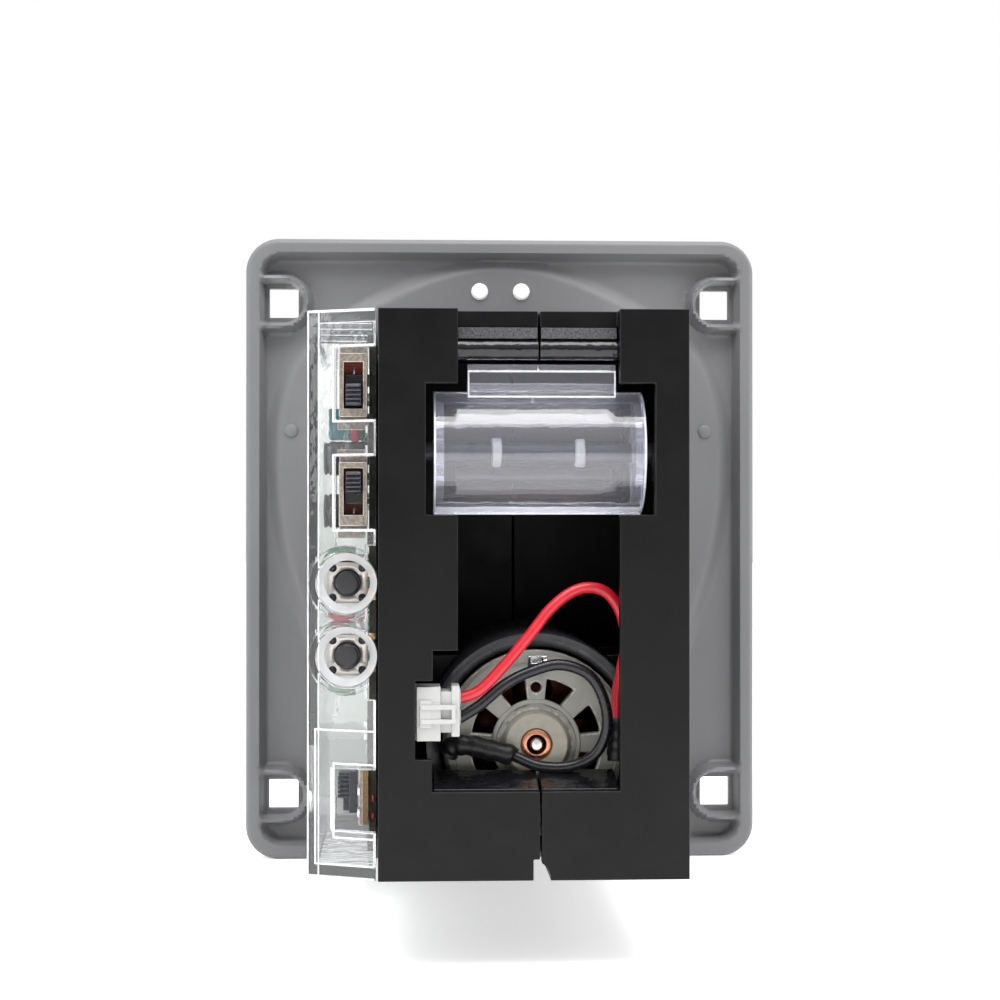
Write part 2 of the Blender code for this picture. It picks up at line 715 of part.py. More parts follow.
def fan(inner, outer, middle, half):
    """The outline of a fan-shaped vent round the motor's axis."""
    axis = (SEAM_X, MOTOR_Z)
    wide = arc(axis, outer, middle - half, middle + half, 4)
    return wide + arc(axis, inner, middle + half * 0.8, middle - half * 0.8, 3)


def make_motor():
    at = (SEAM_X, 0, MOTOR_Z)
    can = [
        (MOTOR_R, CAN_FRONT),
        (MOTOR_R, BELL_FRONT + 0.3),
        (MOTOR_R - 1.1, BELL_FRONT + 0.3),
        (MOTOR_R - 1.1, CAN_FRONT - 1.2),
        (3.0, CAN_FRONT - 1.2),
        (3.0, CAN_FRONT),
    ]
    turned("motor_can", at, can, CAN, steps=40)
    near, far = FLUX_RING_DEPTHS
    start = (SEAM_X, near, MOTOR_Z)
    ring("flux_ring", start, FLUX_RING_R, FLUX_RING_INSIDE, far - near, CAN, steps=48)
    bell = [
        (MOTOR_R - 1.4, 17.0),
        (MOTOR_R - 1.4, BELL_FRONT),
        (MOTOR_R, BELL_FRONT),
        (MOTOR_R, BELL_BACK + 0.8),
        (MOTOR_R - 0.8, BELL_BACK),
        (5.2, BELL_BACK),
        (4.8, 10.0),
        (2.35, 10.0),
        (2.35, 13.4),
        (MOTOR_R - 2.9, 13.4),
        (MOTOR_R - 2.9, 17.0),
    ]
    bell = turned("motor_end_bell", at, bell, BELL, steps=40)
    for i in range(8):
        vent = fan(5.9, 9.7, 22.5 + 45 * i, 13.0)
        cut(bell, prism(f"vent_{i}", vent, "D", (9.0, 16.0), BELL))
    cut(bell, rod("bell_hole", (SEAM_X, 9.0, MOTOR_Z + 8.3), 6.0, 0.85, BELL, sides=12))
    ring("motor_bushing", (SEAM_X, 10.3, MOTOR_Z), 2.15, 1.3, 3.0, BRONZE, steps=24)
    shaft = [(0, 55.0), (1.0, 54.6), (1.0, 10.0), (0.75, 9.6), (0, 9.6)]
    turned("motor_shaft", at, shaft, STEEL, steps=20)
    armature = [
        (10.6, 42.0),
        (10.6, 20.5),
        (3.6, 20.5),
        (3.6, 15.0),
        (1.2, 15.0),
        (1.2, 42.0),
    ]
    turned("armature", at, armature, COPPER, steps=24)


def make_gearhead():
    at = (SEAM_X, 0, MOTOR_Z)
    case = [
        (GEARHEAD_R, GEARHEAD_FRONT),
        (GEARHEAD_R, 49.3),
        (2.0, 49.3),
        (2.0, 50.8),
        (GEARHEAD_R - 1.6, 50.8),
        (GEARHEAD_R - 1.6, GEARHEAD_FRONT - 1.8),
        (2.4, GEARHEAD_FRONT - 1.8),
        (2.4, GEARHEAD_FRONT),
    ]
    turned("gearhead_case", at, case, BLACK, steps=40)
    output = [(0, 80.4), (1.5, 80.4), (1.5, 74.0), (1.9, 73.6), (1.9, 60.0), (0, 60.0)]
    turned("output_shaft", at, output, STEEL, steps=20)
    gear("drive_gear", (SEAM_X, 77.0, MOTOR_Z), SPUR_R, 3.0, 0.0, WHITE)
    half_tooth = 180 / TEETH
    gear("driven_gear", (TRANSFER_X, 77.0, MOTOR_Z), SPUR_R, 3.0, half_tooth, WHITE)
    rod("transfer_shaft", (TRANSFER_X, 74.6, MOTOR_Z), 34.0, 1.5, STEEL, sides=20)
    big = DRIVE_DEPTH - BEVEL_R
    gear("bevel_pinion", (TRANSFER_X, big, MOTOR_Z), BEVEL_R, 1.6, 0.0, WHITE, taper=0.6, hub=2.4)
    wheel = (TRANSFER_X, DRIVE_DEPTH, MOTOR_Z + BEVEL_R)
    gear("bevel_wheel", wheel, BEVEL_R, 1.6, half_tooth, WHITE, "-Z", taper=0.6, hub=2.4)


def make_rollers():
    rod("drive_axle", (TRANSFER_X, DRIVE_DEPTH, 34.2), 57.4, 1.5, STEEL, "Z", 20)
    rod("pinch_axle", (PINCH_X, DRIVE_DEPTH, 41.9), 36.3, 1.0, STEEL, "Z", 16)
    for word, (low, high) in zip(("lower", "upper"), ROLLER_ROWS):
        at = (TRANSFER_X, DRIVE_DEPTH, low)
        ring(f"drive_roller_{word}", at, DRIVE_ROLLER_R, 1.65, high - low, RUBBER, "Z")
        at = (PINCH_X, DRIVE_DEPTH, low)
        ring(f"pinch_roller_{word}", at, PINCH_ROLLER_R, 1.15, high - low, RUBBER, "Z", 24)


# ---------------------------------------------------------------- motor leads

WIRE_R, SLEEVE_R = 0.8, 1.5
RED_ROUTE = (
    (-10.4, 3.6, 39.0),
    (-7.7, 3.6, 40.1),
    (-4.1, 4.0, 43.7),
    (-0.4, 4.5, 48.0),
    (2.5, 5.0, 51.6),
    (5.5, 5.5, 54.0),
    (8.4, 6.0, 54.8),
    (11.1, 6.5, 53.9),
    (13.1, 7.0, 51.0),
    (13.9, 7.6, 46.8),
    (13.3, 8.0, 42.7),
    (12.6, 8.0, 38.6),
    (12.6, 8.0, 35.2),
)
BLACK_ROUTE = (
    (-10.4, 3.6, 36.2),
    (-7.7, 3.7, 37.9),
    (-4.1, 4.2, 40.8),
    (-0.4, 4.6, 42.6),
    (4.0, 5.0, 43.6),
    (8.2, 5.2, 42.1),
    (10.4, 5.4, 38.5),
    (10.9, 5.6, 34.2),
    (9.2, 6.2, 30.4),
    (5.6, 6.8, 28.6),
    (1.2, 7.3, 28.6),
    (-2.2, 8.0, 29.9),
)


def make_leads():
    socket = block("motor_socket", (-16.9, -13.5), (0.8, 6.6), (33.0, 40.8), WHITE)
    base = block("socket_base", (-20.1, -16.5), (2.4, 6.6), (33.0, 40.8), WHITE)
    join(socket, base)
    plug = block("motor_plug", (-13.2, -11.4), (1.2, 6.2), (34.2, 40.1), WHITE)
    join(plug, block("plug_flange", (-11.8, -10.7), (0.9, 6.5), (33.6, 40.9), WHITE))
    wire("red_wire", RED_ROUTE, WIRE_R, RED, 3)
    wire("black_wire", BLACK_ROUTE, WIRE_R, BLACK_PVC, 3)
    rod("sleeve_left", (-11.4, 8.2, 30.6), 8.7, SLEEVE_R, BLACK_PVC, "X", 16)
    rod("sleeve_right", (12.6, 8.1, 29.4), 5.4, SLEEVE_R, BLACK_PVC, "Z", 16)


# ---------------------------------------------------------------- hood and spindle


def make_hood():
    """The clear half-round hood, which turns on the spindle, with its end plates and thumb tab."""
    axis = (SPINDLE_DEPTH, SPINDLE_Z)
    shell = arc(axis, HOOD_R, 90, 270, 24) + arc(axis, HOOD_R - HOOD_WALL, 270, 90, 24)
    hood = prism("clear_hood", shell, "X", (HOOD_LEFT, HOOD_RIGHT), CLEAR)
    disc = arc(axis, HOOD_R - 0.4, 82, 278, 24)
    for i, x in enumerate((HOOD_LEFT, HOOD_RIGHT - HOOD_WALL)):
        end = prism(f"hood_end_{i}", disc, "X", (x + 0.02, x + HOOD_WALL - 0.02), CLEAR)
        hole = rod(
            f"hood_hole_{i}", (x - 1, SPINDLE_DEPTH, SPINDLE_Z), 4.0, SPINDLE_R + 0.2, CLEAR, "X"
        )
        boss = rod(
            f"hood_boss_{i}", (x + 0.02, SPINDLE_DEPTH, SPINDLE_Z), HOOD_WALL - 0.04, 3.2, CLEAR, "X"
        )
        join(end, boss)
        cut(end, hole)
        join(hood, end)
    tab = ((3.4, 82.4), (3.4, 86.3), (4.2, 87.2), (6.2, 87.2), (6.2, 84.5), (8.0, 82.6), (6.0, 82.0))
    join(hood, prism("hood_tab", tab, "X", (-9.5, 12.0), CLEAR))
    rod("spindle", (-17.9, SPINDLE_DEPTH, SPINDLE_Z), 37.2, SPINDLE_R, STEEL, "X", 20)
    for word, x in (("left", -6.6), ("right", 5.7)):
        at = (x, SPINDLE_DEPTH, SPINDLE_Z)
        ring(f"spindle_roller_{word}", at, 3.4, SPINDLE_R + 0.15, 3.0, WHITE, "X", 24)
    return hood


# ---------------------------------------------------------------- electronics and side cover

SWITCH_ROWS = ((79.5, 89.1), (63.8, 73.4))
SOCKET_DEPTHS, SOCKET_Z = (55.0, 79.0), (18.0, 28.0)


def make_cover():
    """The clear cover: a box that is open towards the left shell."""
    right = SHELL_LEFT - 0.3
    plan = [(right, 0.3), (COVER_LEFT, 5.0), (COVER_LEFT, 92.0), (COVER_LEFT + 2, 94.0), (right, 94.0)]
    cover = prism("clear_cover", plan, "Z", (SHELL_BOTTOM, SHELL_TOP), CLEAR)
    inner = COVER_LEFT + COVER_WALL
    room = [(right + 2, 2.1), (right, 2.1), (inner, 6.0), (inner, 92.2), (right + 2, 92.2)]
    cut(cover, prism("cover_inside", room, "Z", (SHELL_BOTTOM + 1.7, SHELL_TOP - 1.7), CLEAR))
    for i, (low, high) in enumerate(SWITCH_ROWS):
        window = block(f"switch_window_{i}", (-28.5, -20.0), (-1.0, 8.0), (low - 0.4, high + 0.4), CLEAR)
        cut(cover, window)
    cut(cover, block("side_switch_window", (-28.9, -20.0), (-1.0, 8.0), (20.0, 28.9), CLEAR))
    for i, z in enumerate(BUTTON_ROWS):
        join(cover, rod(f"well_{i}", (BUTTON_X, 3.4, z), 5.3, 5.5, CLEAR, sides=32))
    for i, z in enumerate(BUTTON_ROWS):
        cut(cover, rod(f"well_hole_{i}", (BUTTON_X, -1.0, z), 12.0, 4.5, CLEAR, sides=32))
    cut(cover, block("board_room", (-23.95, -20.0), (-1.0, 12.0), (39.0, 61.0), CLEAR))
    port = block(
        "port",
        (COVER_LEFT - 1, inner + 1),
        (SOCKET_DEPTHS[0] - 0.4, SOCKET_DEPTHS[1] + 0.4),
        (SOCKET_Z[0] - 0.4, SOCKET_Z[1] + 0.4),
        CLEAR,
    )
    cut(cover, port)


def make_board():
    block("main_board", BOARD_X, (8.6, 90.0), (16.2, 91.8), BOARD)
    for i, z in enumerate((73.8, 66.0)):
        rod(f"capacitor_{i + 1}", (-30.3, 14.0, z), 6.2, 2.5, BLACK, "X")
    block("controller_chip", (-25.6, -24.0), (40.0, 54.0), (45.0, 59.0), BLACK)
    socket = block("host_socket", (-32.2, -24.1), SOCKET_DEPTHS, SOCKET_Z, WHITE)
    hollow = block(
        "host_socket_inside",
        (-34.0, -26.0),
        (SOCKET_DEPTHS[0] + 1.2, SOCKET_DEPTHS[1] - 1.2),
        (SOCKET_Z[0] + 1.2, SOCKET_Z[1] - 1.2),
        WHITE,
    )
    cut(socket, hollow)


def make_switches():
    for i, (low, high) in enumerate(SWITCH_ROWS):
        frame = block(f"switch_frame_{i + 1}", (-28.0, -24.0), (2.6, 8.5), (low, high), STEEL)
        slot = block(f"switch_slot_{i}", (-27.4, -24.5), (1.0, 7.4), (low + 1.4, high - 1.6), STEEL)
        cut(frame, slot)
        bottom = low + 1.6 if i == 0 else high - 1.8 - 4.6
        grip = (bottom, bottom + 3.1) if i == 0 else (bottom + 1.5, bottom + 4.6)
        knob = block(f"switch_knob_{i + 1}", (-27.2, -24.7), (4.4, 7.1), (bottom, bottom + 4.6), KNOB)
        join(knob, block(f"knob_grip_{i}", (-27.0, -24.9), (0.6, 5.0), grip, KNOB))
    block("switch_frame_3", (-25.2, -24.0), (6.5, 13.0), (20.2, 28.7), STEEL)
    knob = block("switch_knob_3", (-26.7, -25.5), (7.2, 12.2), (21.9, 28.0), KNOB)
    join(knob, block("knob_grip_2", (-28.3, -26.0), (7.8, 11.6), (23.9, 27.7), KNOB))


def make_buttons():
    for i, z in enumerate(BUTTON_ROWS):
        x = (BUTTON_X - 2.98, BUTTON_X + 2.98)
        case = block(f"button_case_{i + 1}", x, (9.0, 12.6), (z - 2.98, z + 2.98), KNOB)
        cut(case, rod(f"button_bore_{i}", (BUTTON_X, 8.0, z), 3.6, 1.9, KNOB))
        rod(f"button_plunger_{i + 1}", (BUTTON_X, 6.6, z), 4.3, 1.75, KNOB)


def make_screws():
    for i, z in enumerate(SCREW_ROWS):
        profile = [(0, 104.0), (1.2, 104.0), (1.2, 97.4), (2.5, 97.4), (2.5, 96.2), (1.9, 95.6), (0, 95.6)]
        turned(f"bezel_screw_{i + 1}", (SCREW_X, 0, z), profile, STEEL, steps=16)


# ---------------------------------------------------------------- the object

make_bezel()
make_left_shell()
right_shell = make_right_shell()
make_hinge_pin()
make_guides()
exit_guides = make_exit_guides()
make_motor()
make_gearhead()
make_rollers()
make_leads()
clear_hood = make_hood()
make_cover()
make_board()
make_switches()
make_buttons()
make_screws()
hinge_at("door_hinge", (HINGE_X, 50.0, HINGE_Z), [right_shell, *exit_guides])
hinge_at("hood_hinge", (SEAM_X, SPINDLE_DEPTH, SPINDLE_Z), [clear_hood])
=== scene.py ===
"""The looks of the bill validator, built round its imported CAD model.

Lengths are in millimetres until a mesh is made. A depth is measured forward from the housing's
rear face, x runs to the right as seen from the rear, and z is up.
"""

import json
import math
import random

import bmesh
import bpy
import numpy as np
from mathutils import Matrix, Vector


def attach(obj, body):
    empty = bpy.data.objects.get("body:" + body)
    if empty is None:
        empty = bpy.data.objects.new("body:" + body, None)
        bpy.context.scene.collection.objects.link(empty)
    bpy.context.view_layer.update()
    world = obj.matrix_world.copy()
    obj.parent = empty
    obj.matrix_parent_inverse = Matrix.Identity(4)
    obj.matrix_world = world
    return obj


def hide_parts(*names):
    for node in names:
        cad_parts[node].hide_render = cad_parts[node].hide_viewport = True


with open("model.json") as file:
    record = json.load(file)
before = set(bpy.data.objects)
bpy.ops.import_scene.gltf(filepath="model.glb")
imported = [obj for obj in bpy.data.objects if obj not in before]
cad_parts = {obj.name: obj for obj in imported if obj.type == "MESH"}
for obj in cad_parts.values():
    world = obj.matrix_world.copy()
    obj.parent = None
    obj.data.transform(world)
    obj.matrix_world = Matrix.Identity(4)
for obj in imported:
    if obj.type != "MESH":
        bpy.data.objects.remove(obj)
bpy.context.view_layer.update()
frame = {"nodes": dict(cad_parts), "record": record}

MM = 0.001
HALF_DEPTH = 71.0
TO_WORLD = Matrix.Translation((0, -HALF_DEPTH * MM, 0)) @ Matrix.Scale(MM, 4)
RANDOM = random.Random(11)

SLOT_OF = {part["node"]: part["material_slot"] for part in frame["record"]["subparts"]}

# ---------------------------------------------------------------- camera, light and stage


CAMERA_AT = (-0.01927, -0.369, 0.06539)
CAMERA_TURN = (math.radians(90.412), 0, math.radians(-2.745))
FOCAL_LENGTH, SENSOR_WIDTH = 75.1, 36.0
WORLD_TOP, WORLD_BEHIND, WORLD_AHEAD = 1.3, 0.22, 0.95
LAMP_TARGET = (0, 0, 0.06)
FLOOR_RADIUS = 2.5


def make_camera():
    lens = bpy.data.cameras.new("camera")
    lens.lens, lens.sensor_width = FOCAL_LENGTH, SENSOR_WIDTH
    lens.clip_start, lens.clip_end = 0.01, 10.0
    camera = bpy.data.objects.new("camera", lens)
    bpy.context.scene.collection.objects.link(camera)
    camera.location = CAMERA_AT
    camera.rotation_euler = CAMERA_TURN
    bpy.context.scene.camera = camera


def make_world():
    """White to the camera. As light it is bright above, fair in front and dim behind the camera."""
    world = bpy.data.worlds.new("studio")
    world.use_nodes = True
    bpy.context.scene.world = world
    nodes, links = world.node_tree.nodes, world.node_tree.links
    nodes.clear()
    out = nodes.new("ShaderNodeOutputWorld")
    seen = nodes.new("ShaderNodeBackground")
    seen.inputs["Color"].default_value = (1, 1, 1, 1)
    light = nodes.new("ShaderNodeBackground")
    where = nodes.new("ShaderNodeTexCoord")
    split = nodes.new("ShaderNodeSeparateXYZ")
    links.new(where.outputs["Generated"], split.inputs[0])
    total = nodes.new("ShaderNodeMath")
    links.new(ranged(world, split.outputs["Z"], 0.0, WORLD_TOP, 0.1, 1.0), total.inputs[0])
    ahead = ranged(world, split.outputs["Y"], WORLD_BEHIND, WORLD_AHEAD, -0.6, 0.5)
    links.new(ahead, total.inputs[1])
    links.new(total.outputs[0], light.inputs["Strength"])
    shown = by_ray(world, "Is Camera Ray", light.outputs[0], seen.outputs[0])
    links.new(shown, out.inputs["Surface"])


def area_light(name, at, size, power):
    lamp = bpy.data.lights.new(name, "AREA")
    lamp.shape = "RECTANGLE"
    lamp.size, lamp.size_y = size
    lamp.energy = power
    thing = bpy.data.objects.new(name, lamp)
    bpy.context.scene.collection.objects.link(thing)
    thing.location = at
    thing.rotation_euler = (Vector(LAMP_TARGET) - Vector(at)).to_track_quat("-Z", "Y").to_euler()


def make_stage():
    make_world()
    area_light("softbox_top", (0.05, -0.25, 0.62), (0.7, 0.35), 5.0)
    area_light("softbox_left", (-0.7, -0.35, 0.35), (0.4, 0.6), 2.0)
    area_light("softbox_right", (0.75, -0.1, 0.3), (0.4, 0.6), 2.0)
    bpy.ops.mesh.primitive_circle_add(vertices=96, radius=FLOOR_RADIUS, fill_type="NGON")
    floor = bpy.context.object
    floor.name = "floor"
    floor.data.materials.append(FLOOR)
    bpy.context.scene.view_settings.view_transform = "Standard"


# ---------------------------------------------------------------- materials


# Second finishes for rounded edges: lighter and patchy, part edge wear and part painted edge highlight.
WORN_AND_HIGHLIT_EDGES = {}
WORN_AND_HIGHLIT_MOTTLE, WORN_AND_HIGHLIT_SIZE = 0.5, 0.3
SMEAR_SIZE = 0.35
GRAIN_DEPTH = 0.1


def by_ray(made, ray, usual, special):
    """One shader for the named kind of ray and another for the rest."""
    nodes, links = made.node_tree.nodes, made.node_tree.links
    path = nodes.new("ShaderNodeLightPath")
    mix = nodes.new("ShaderNodeMixShader")
    for socket, source in enumerate((path.outputs[ray], usual, special)):
        links.new(source, mix.inputs[socket])
    return mix.outputs[0]


def scaled(colour, factor):
    return tuple(min(1.0, part * factor) for part in colour) + (1.0,)


def noise_node(made, size, detail=3.0, stretch=(1, 1, 1)):
    """Noise in the object's own space, with features about size millimetres across."""
    nodes, links = made.node_tree.nodes, made.node_tree.links
    where = nodes.new("ShaderNodeTexCoord")
    mapping = nodes.new("ShaderNodeMapping")
    mapping.inputs["Scale"].default_value = stretch
    cloud = nodes.new("ShaderNodeTexNoise")
    cloud.inputs["Scale"].default_value = 1000.0 / size
    cloud.inputs["Detail"].default_value = detail
    links.new(where.outputs["Object"], mapping.inputs["Vector"])
    links.new(mapping.outputs[0], cloud.inputs["Vector"])
    return cloud.outputs["Fac"]


def ranged(made, value, low, high, start=0.3, end=0.7):
    """The value from start to end, remapped to run from low to high."""
    step = made.node_tree.nodes.new("ShaderNodeMapRange")
    step.inputs["From Min"].default_value = start
    step.inputs["From Max"].default_value = end
    step.inputs["To Min"].default_value = low
    step.inputs["To Max"].default_value = high
    made.node_tree.links.new(value, step.inputs["Value"])
    return step.outputs["Result"]


def mixed(made, factor, first, second):
    """A colour between two, each a plain colour or another node's output."""
    step = made.node_tree.nodes.new("ShaderNodeMix")
    step.data_type = "RGBA"
    made.node_tree.links.new(factor, step.inputs[0])
    for socket, colour in ((step.inputs[6], first), (step.inputs[7], second)):
        if isinstance(colour, tuple):
            socket.default_value = colour
        else:
            made.node_tree.links.new(colour, socket)
    return step.outputs[2]


def finish(
    name, colour, roughness, metallic=0.0, mottle=(0.08, 7.0), spread=0.06, grain=(0.25, 0.3),
    edge_wear_and_highlight=None, stretch=(1, 1, 1), fixed=None,
):
    """A procedural finish. mottle is the colour's variation and its size, spread the roughness's
    variation, grain the bump's strength and size, and fixed the shader's other inputs. Given an edge
    colour, a second finish is made for rounded edges, patchy and halfway to that colour: lighter
    edges that are part edge wear and part painted edge highlight."""
    made = bpy.data.materials.new(name)
    made.use_nodes = True
    nodes, links = made.node_tree.nodes, made.node_tree.links
    shader = nodes["Principled BSDF"]
    shader.inputs["Metallic"].default_value = metallic
    for socket, value in (fixed or {}).items():
        shader.inputs[socket].default_value = value
    cloud = noise_node(made, mottle[1], 5.0, stretch)
    amount = mottle[0]
    share = ranged(made, cloud, 0.0, 1.0)
    tint = mixed(made, share, scaled(colour, 1 - amount), scaled(colour, 1 + amount))
    if edge_wear_and_highlight:
        worn_and_highlit = tuple((part + bright) / 2 for part, bright in zip(colour, edge_wear_and_highlight))
        patches = (WORN_AND_HIGHLIT_MOTTLE, mottle[1] * WORN_AND_HIGHLIT_SIZE)
        WORN_AND_HIGHLIT_EDGES[name] = finish(
            name + "_rubbed", worn_and_highlit, roughness, metallic, patches, spread, grain, None, stretch, fixed
        )
    links.new(tint, shader.inputs["Base Color"])
    smear = noise_node(made, mottle[1] * SMEAR_SIZE, 3.0, stretch)
    smear = ranged(made, smear, max(0.0, roughness - spread), roughness + spread)
    links.new(smear, shader.inputs["Roughness"])
    bump = nodes.new("ShaderNodeBump")
    bump.inputs["Strength"].default_value = grain[0]
    bump.inputs["Distance"].default_value = grain[1] * GRAIN_DEPTH * MM
    links.new(noise_node(made, grain[1], 2.0, stretch), bump.inputs["Height"])
    links.new(bump.outputs[0], shader.inputs["Normal"])
    return made


def let_light_in(made, colour):
    """Lamps reach what lies behind this clear finish."""
    nodes = made.node_tree.nodes
    through = nodes.new("ShaderNodeBsdfTransparent")
    through.inputs["Color"].default_value = (*colour, 1.0)
    shown = by_ray(made, "Is Shadow Ray", nodes["Principled BSDF"].outputs[0], through.outputs[0])
    made.node_tree.links.new(shown, nodes["Material Output"].inputs["Surface"])


FLOOR = finish(
    "floor_card", (0.88, 0.88, 0.88), 0.9, mottle=(0.01, 60.0), grain=(0.1, 0.8),
    fixed={"Emission Color": (1, 1, 1, 1), "Emission Strength": 0.5},
)
GREY = finish("grey_moulding", (0.15, 0.151, 0.155), 0.5, mottle=(0.05, 25.0), grain=(0.35, 0.35))
# Black moulding whose rounded edges are lighter: part edge wear, part painted edge highlight.
BLACK = finish(
    "black_moulding", (0.0024, 0.0025, 0.003), 0.36, mottle=(0.2, 14.0), grain=(0.2, 0.3),
    edge_wear_and_highlight=(0.016, 0.016, 0.018), fixed={"Specular IOR Level": 0.2},
)
DARK_GUIDE = finish("black_guide", (0.006, 0.006, 0.007), 0.3, fixed={"Specular IOR Level": 0.3})
GLOSS_BLACK = finish(
    "polished_black", (0.006, 0.006, 0.007), 0.13, mottle=(0.3, 2.0), spread=0.1, grain=(1.0, 1.6)
)
# Etched strip, lighter and strongly speckled: part real etched texture, part painted sheen.
ETCHED_AND_SHEEN = finish(
    "etched_black_and_sheen", (0.06, 0.06, 0.063), 0.38, mottle=(0.9, 0.3), spread=0.2, grain=(1.0, 0.3)
)
CLEAR_TINT = (0.95, 0.955, 0.965)
CLEAR = finish(
    "clear_polycarbonate", CLEAR_TINT, 0.02, mottle=(0.01, 20.0), spread=0.02, grain=(0.12, 2.5),
    fixed={"Transmission Weight": 0.97, "IOR": 1.49},
)
# Its faint lilac glow is a painted reflection: a veil that stands for the softbox seen on the hood's
# curve.
HOOD_CLEAR = finish(
    "hood_polycarbonate", (0.9, 0.9, 0.95), 0.03, mottle=(0.02, 12.0), spread=0.03,
    grain=(0.2, 3.0), fixed={
        "Transmission Weight": 0.97, "IOR": 1.55,
        "Emission Color": (0.75, 0.75, 0.9, 1), "Emission Strength": 0.025,
    },
)
FROSTED = finish(
    "frosted_polycarbonate", (0.88, 0.88, 0.88), 0.35, mottle=(0.04, 3.0), grain=(0.3, 0.4),
    fixed={"Transmission Weight": 0.45, "IOR": 1.49},
)
# Whitish half-clear finish for thin strips: painted highlight along the bright edges of the clear parts.
PAINTED_EDGE_HIGHLIGHT = finish(
    "painted_edge_highlight", (0.9, 0.9, 0.92), 0.2, mottle=(0.15, 1.0), spread=0.1, grain=(0.5, 0.6),
    fixed={"Transmission Weight": 0.5, "IOR": 1.49},
)
for glass in (CLEAR, HOOD_CLEAR, FROSTED, PAINTED_EDGE_HIGHLIGHT):
    let_light_in(glass, CLEAR_TINT)
# Its glow is painted light, standing for light shining through the windows; no lamp is lit behind them.
MILKY = finish(
    "milky_lens", (0.95, 0.95, 0.94), 0.3, mottle=(0.04, 1.5), grain=(0.2, 0.3),
    fixed={"Transmission Weight": 0.35, "Emission Color": (1, 1, 1, 1), "Emission Strength": 0.25},
)
# Colour of a pale block inside the cover: painted reflection of the white backdrop seen through the clear
# walls.
PAINTED_REFLECTION_PANEL = finish("painted_reflection_pale", (0.8, 0.79, 0.77), 0.85, mottle=(0.1, 4.0), grain=(0.8, 0.5))
WHITE = finish("white_nylon", (0.43, 0.43, 0.42), 0.42, mottle=(0.03, 3.0), grain=(0.25, 0.3))
# Its rounded edges are lighter: part edge wear, part painted edge highlight.
BELL = finish(
    "bell_thermoset", (0.235, 0.232, 0.205), 0.46, mottle=(0.1, 3.0),
    grain=(0.45, 0.22), edge_wear_and_highlight=(0.4, 0.39, 0.35),
)
BOSS = finish("bell_boss", (0.33, 0.312, 0.256), 0.5, mottle=(0.08, 1.5), grain=(0.4, 0.2))
STEEL = finish(
    "bright_steel", (0.6, 0.59, 0.57), 0.28, metallic=1.0, mottle=(0.1, 1.2), spread=0.1,
    grain=(0.25, 0.12), stretch=(1, 1, 0.25),
)
# Its light beige rounded edges are part edge wear, part painted edge highlight.
FRAME_STEEL = finish(
    "switch_steel", (0.27, 0.235, 0.2), 0.42, metallic=0.6, mottle=(0.35, 0.45), spread=0.12,
    grain=(0.6, 0.25), edge_wear_and_highlight=(0.8, 0.76, 0.68),
)
TACT_STEEL = finish(
    "brushed_plate", (0.62, 0.585, 0.55), 0.34, metallic=0.85, mottle=(0.08, 1.0), spread=0.08,
    grain=(0.4, 0.12), stretch=(0.12, 1, 1),
)
# Its lighter rounded edges are part edge wear, part painted edge highlight.
DARK_STEEL = finish(
    "blackened_steel", (0.045, 0.046, 0.05), 0.36, metallic=0.5, mottle=(0.2, 2.5), spread=0.1,
    grain=(0.3, 0.2), edge_wear_and_highlight=(0.3, 0.285, 0.25),
)
BRONZE = finish(
    "sintered_bronze", (0.72, 0.33, 0.2), 0.36, metallic=1.0, mottle=(0.15, 0.5), grain=(0.5, 0.12)
)
# Copper darkened to near black: painted shade for the windings inside the motor can.
COPPER = finish(
    "copper_in_painted_shade", (0.06, 0.018, 0.01), 0.45, metallic=0.9, mottle=(0.3, 0.7),
    grain=(0.9, 0.5), stretch=(1, 0.1, 1),
)
GOLD = finish("gold_pad", (0.8, 0.55, 0.3), 0.3, metallic=0.9, mottle=(0.1, 0.4), grain=(0.4, 0.2))
SOLDER = finish("solder", (0.75, 0.75, 0.76), 0.22, metallic=0.95, mottle=(0.1, 0.3), grain=(0.4, 0.25))
RUBBER = finish("roller_rubber", (0.022, 0.022, 0.023), 0.75, mottle=(0.15, 1.5), grain=(0.8, 0.3))
RED = finish(
    "red_insulation", (0.5, 0.009, 0.022), 0.36, mottle=(0.08, 2.0), grain=(0.2, 0.3),
    fixed={"Coat Weight": 0.15},
)
BLACK_PVC = finish(
    "black_insulation", (0.007, 0.007, 0.009), 0.28, mottle=(0.1, 2.0), grain=(0.3, 0.4),
    fixed={"Specular IOR Level": 0.4},
)
SLEEVE = finish(
    "shrink_sleeve", (0.005, 0.005, 0.006), 0.4, mottle=(0.2, 1.0), grain=(0.9, 0.8),
    fixed={"Specular IOR Level": 0.35},
)
# Its lighter rounded edges are part edge wear, part painted edge highlight.
KNOB = finish(
    "knob_plastic", (0.011, 0.012, 0.016), 0.3, mottle=(0.1, 1.0), grain=(0.3, 0.2),
    edge_wear_and_highlight=(0.09, 0.1, 0.13),
)
# Its lighter rounded edges are part edge wear, part painted edge highlight.
PLUNGER = finish(
    "plunger_plastic", (0.022, 0.022, 0.026), 0.4, mottle=(0.08, 1.0), grain=(0.3, 0.15),
    edge_wear_and_highlight=(0.1, 0.1, 0.1),
)
PHENOLIC = finish("red_brown_phenolic", (0.23, 0.022, 0.008), 0.4, mottle=(0.2, 0.5), grain=(0.5, 0.2))
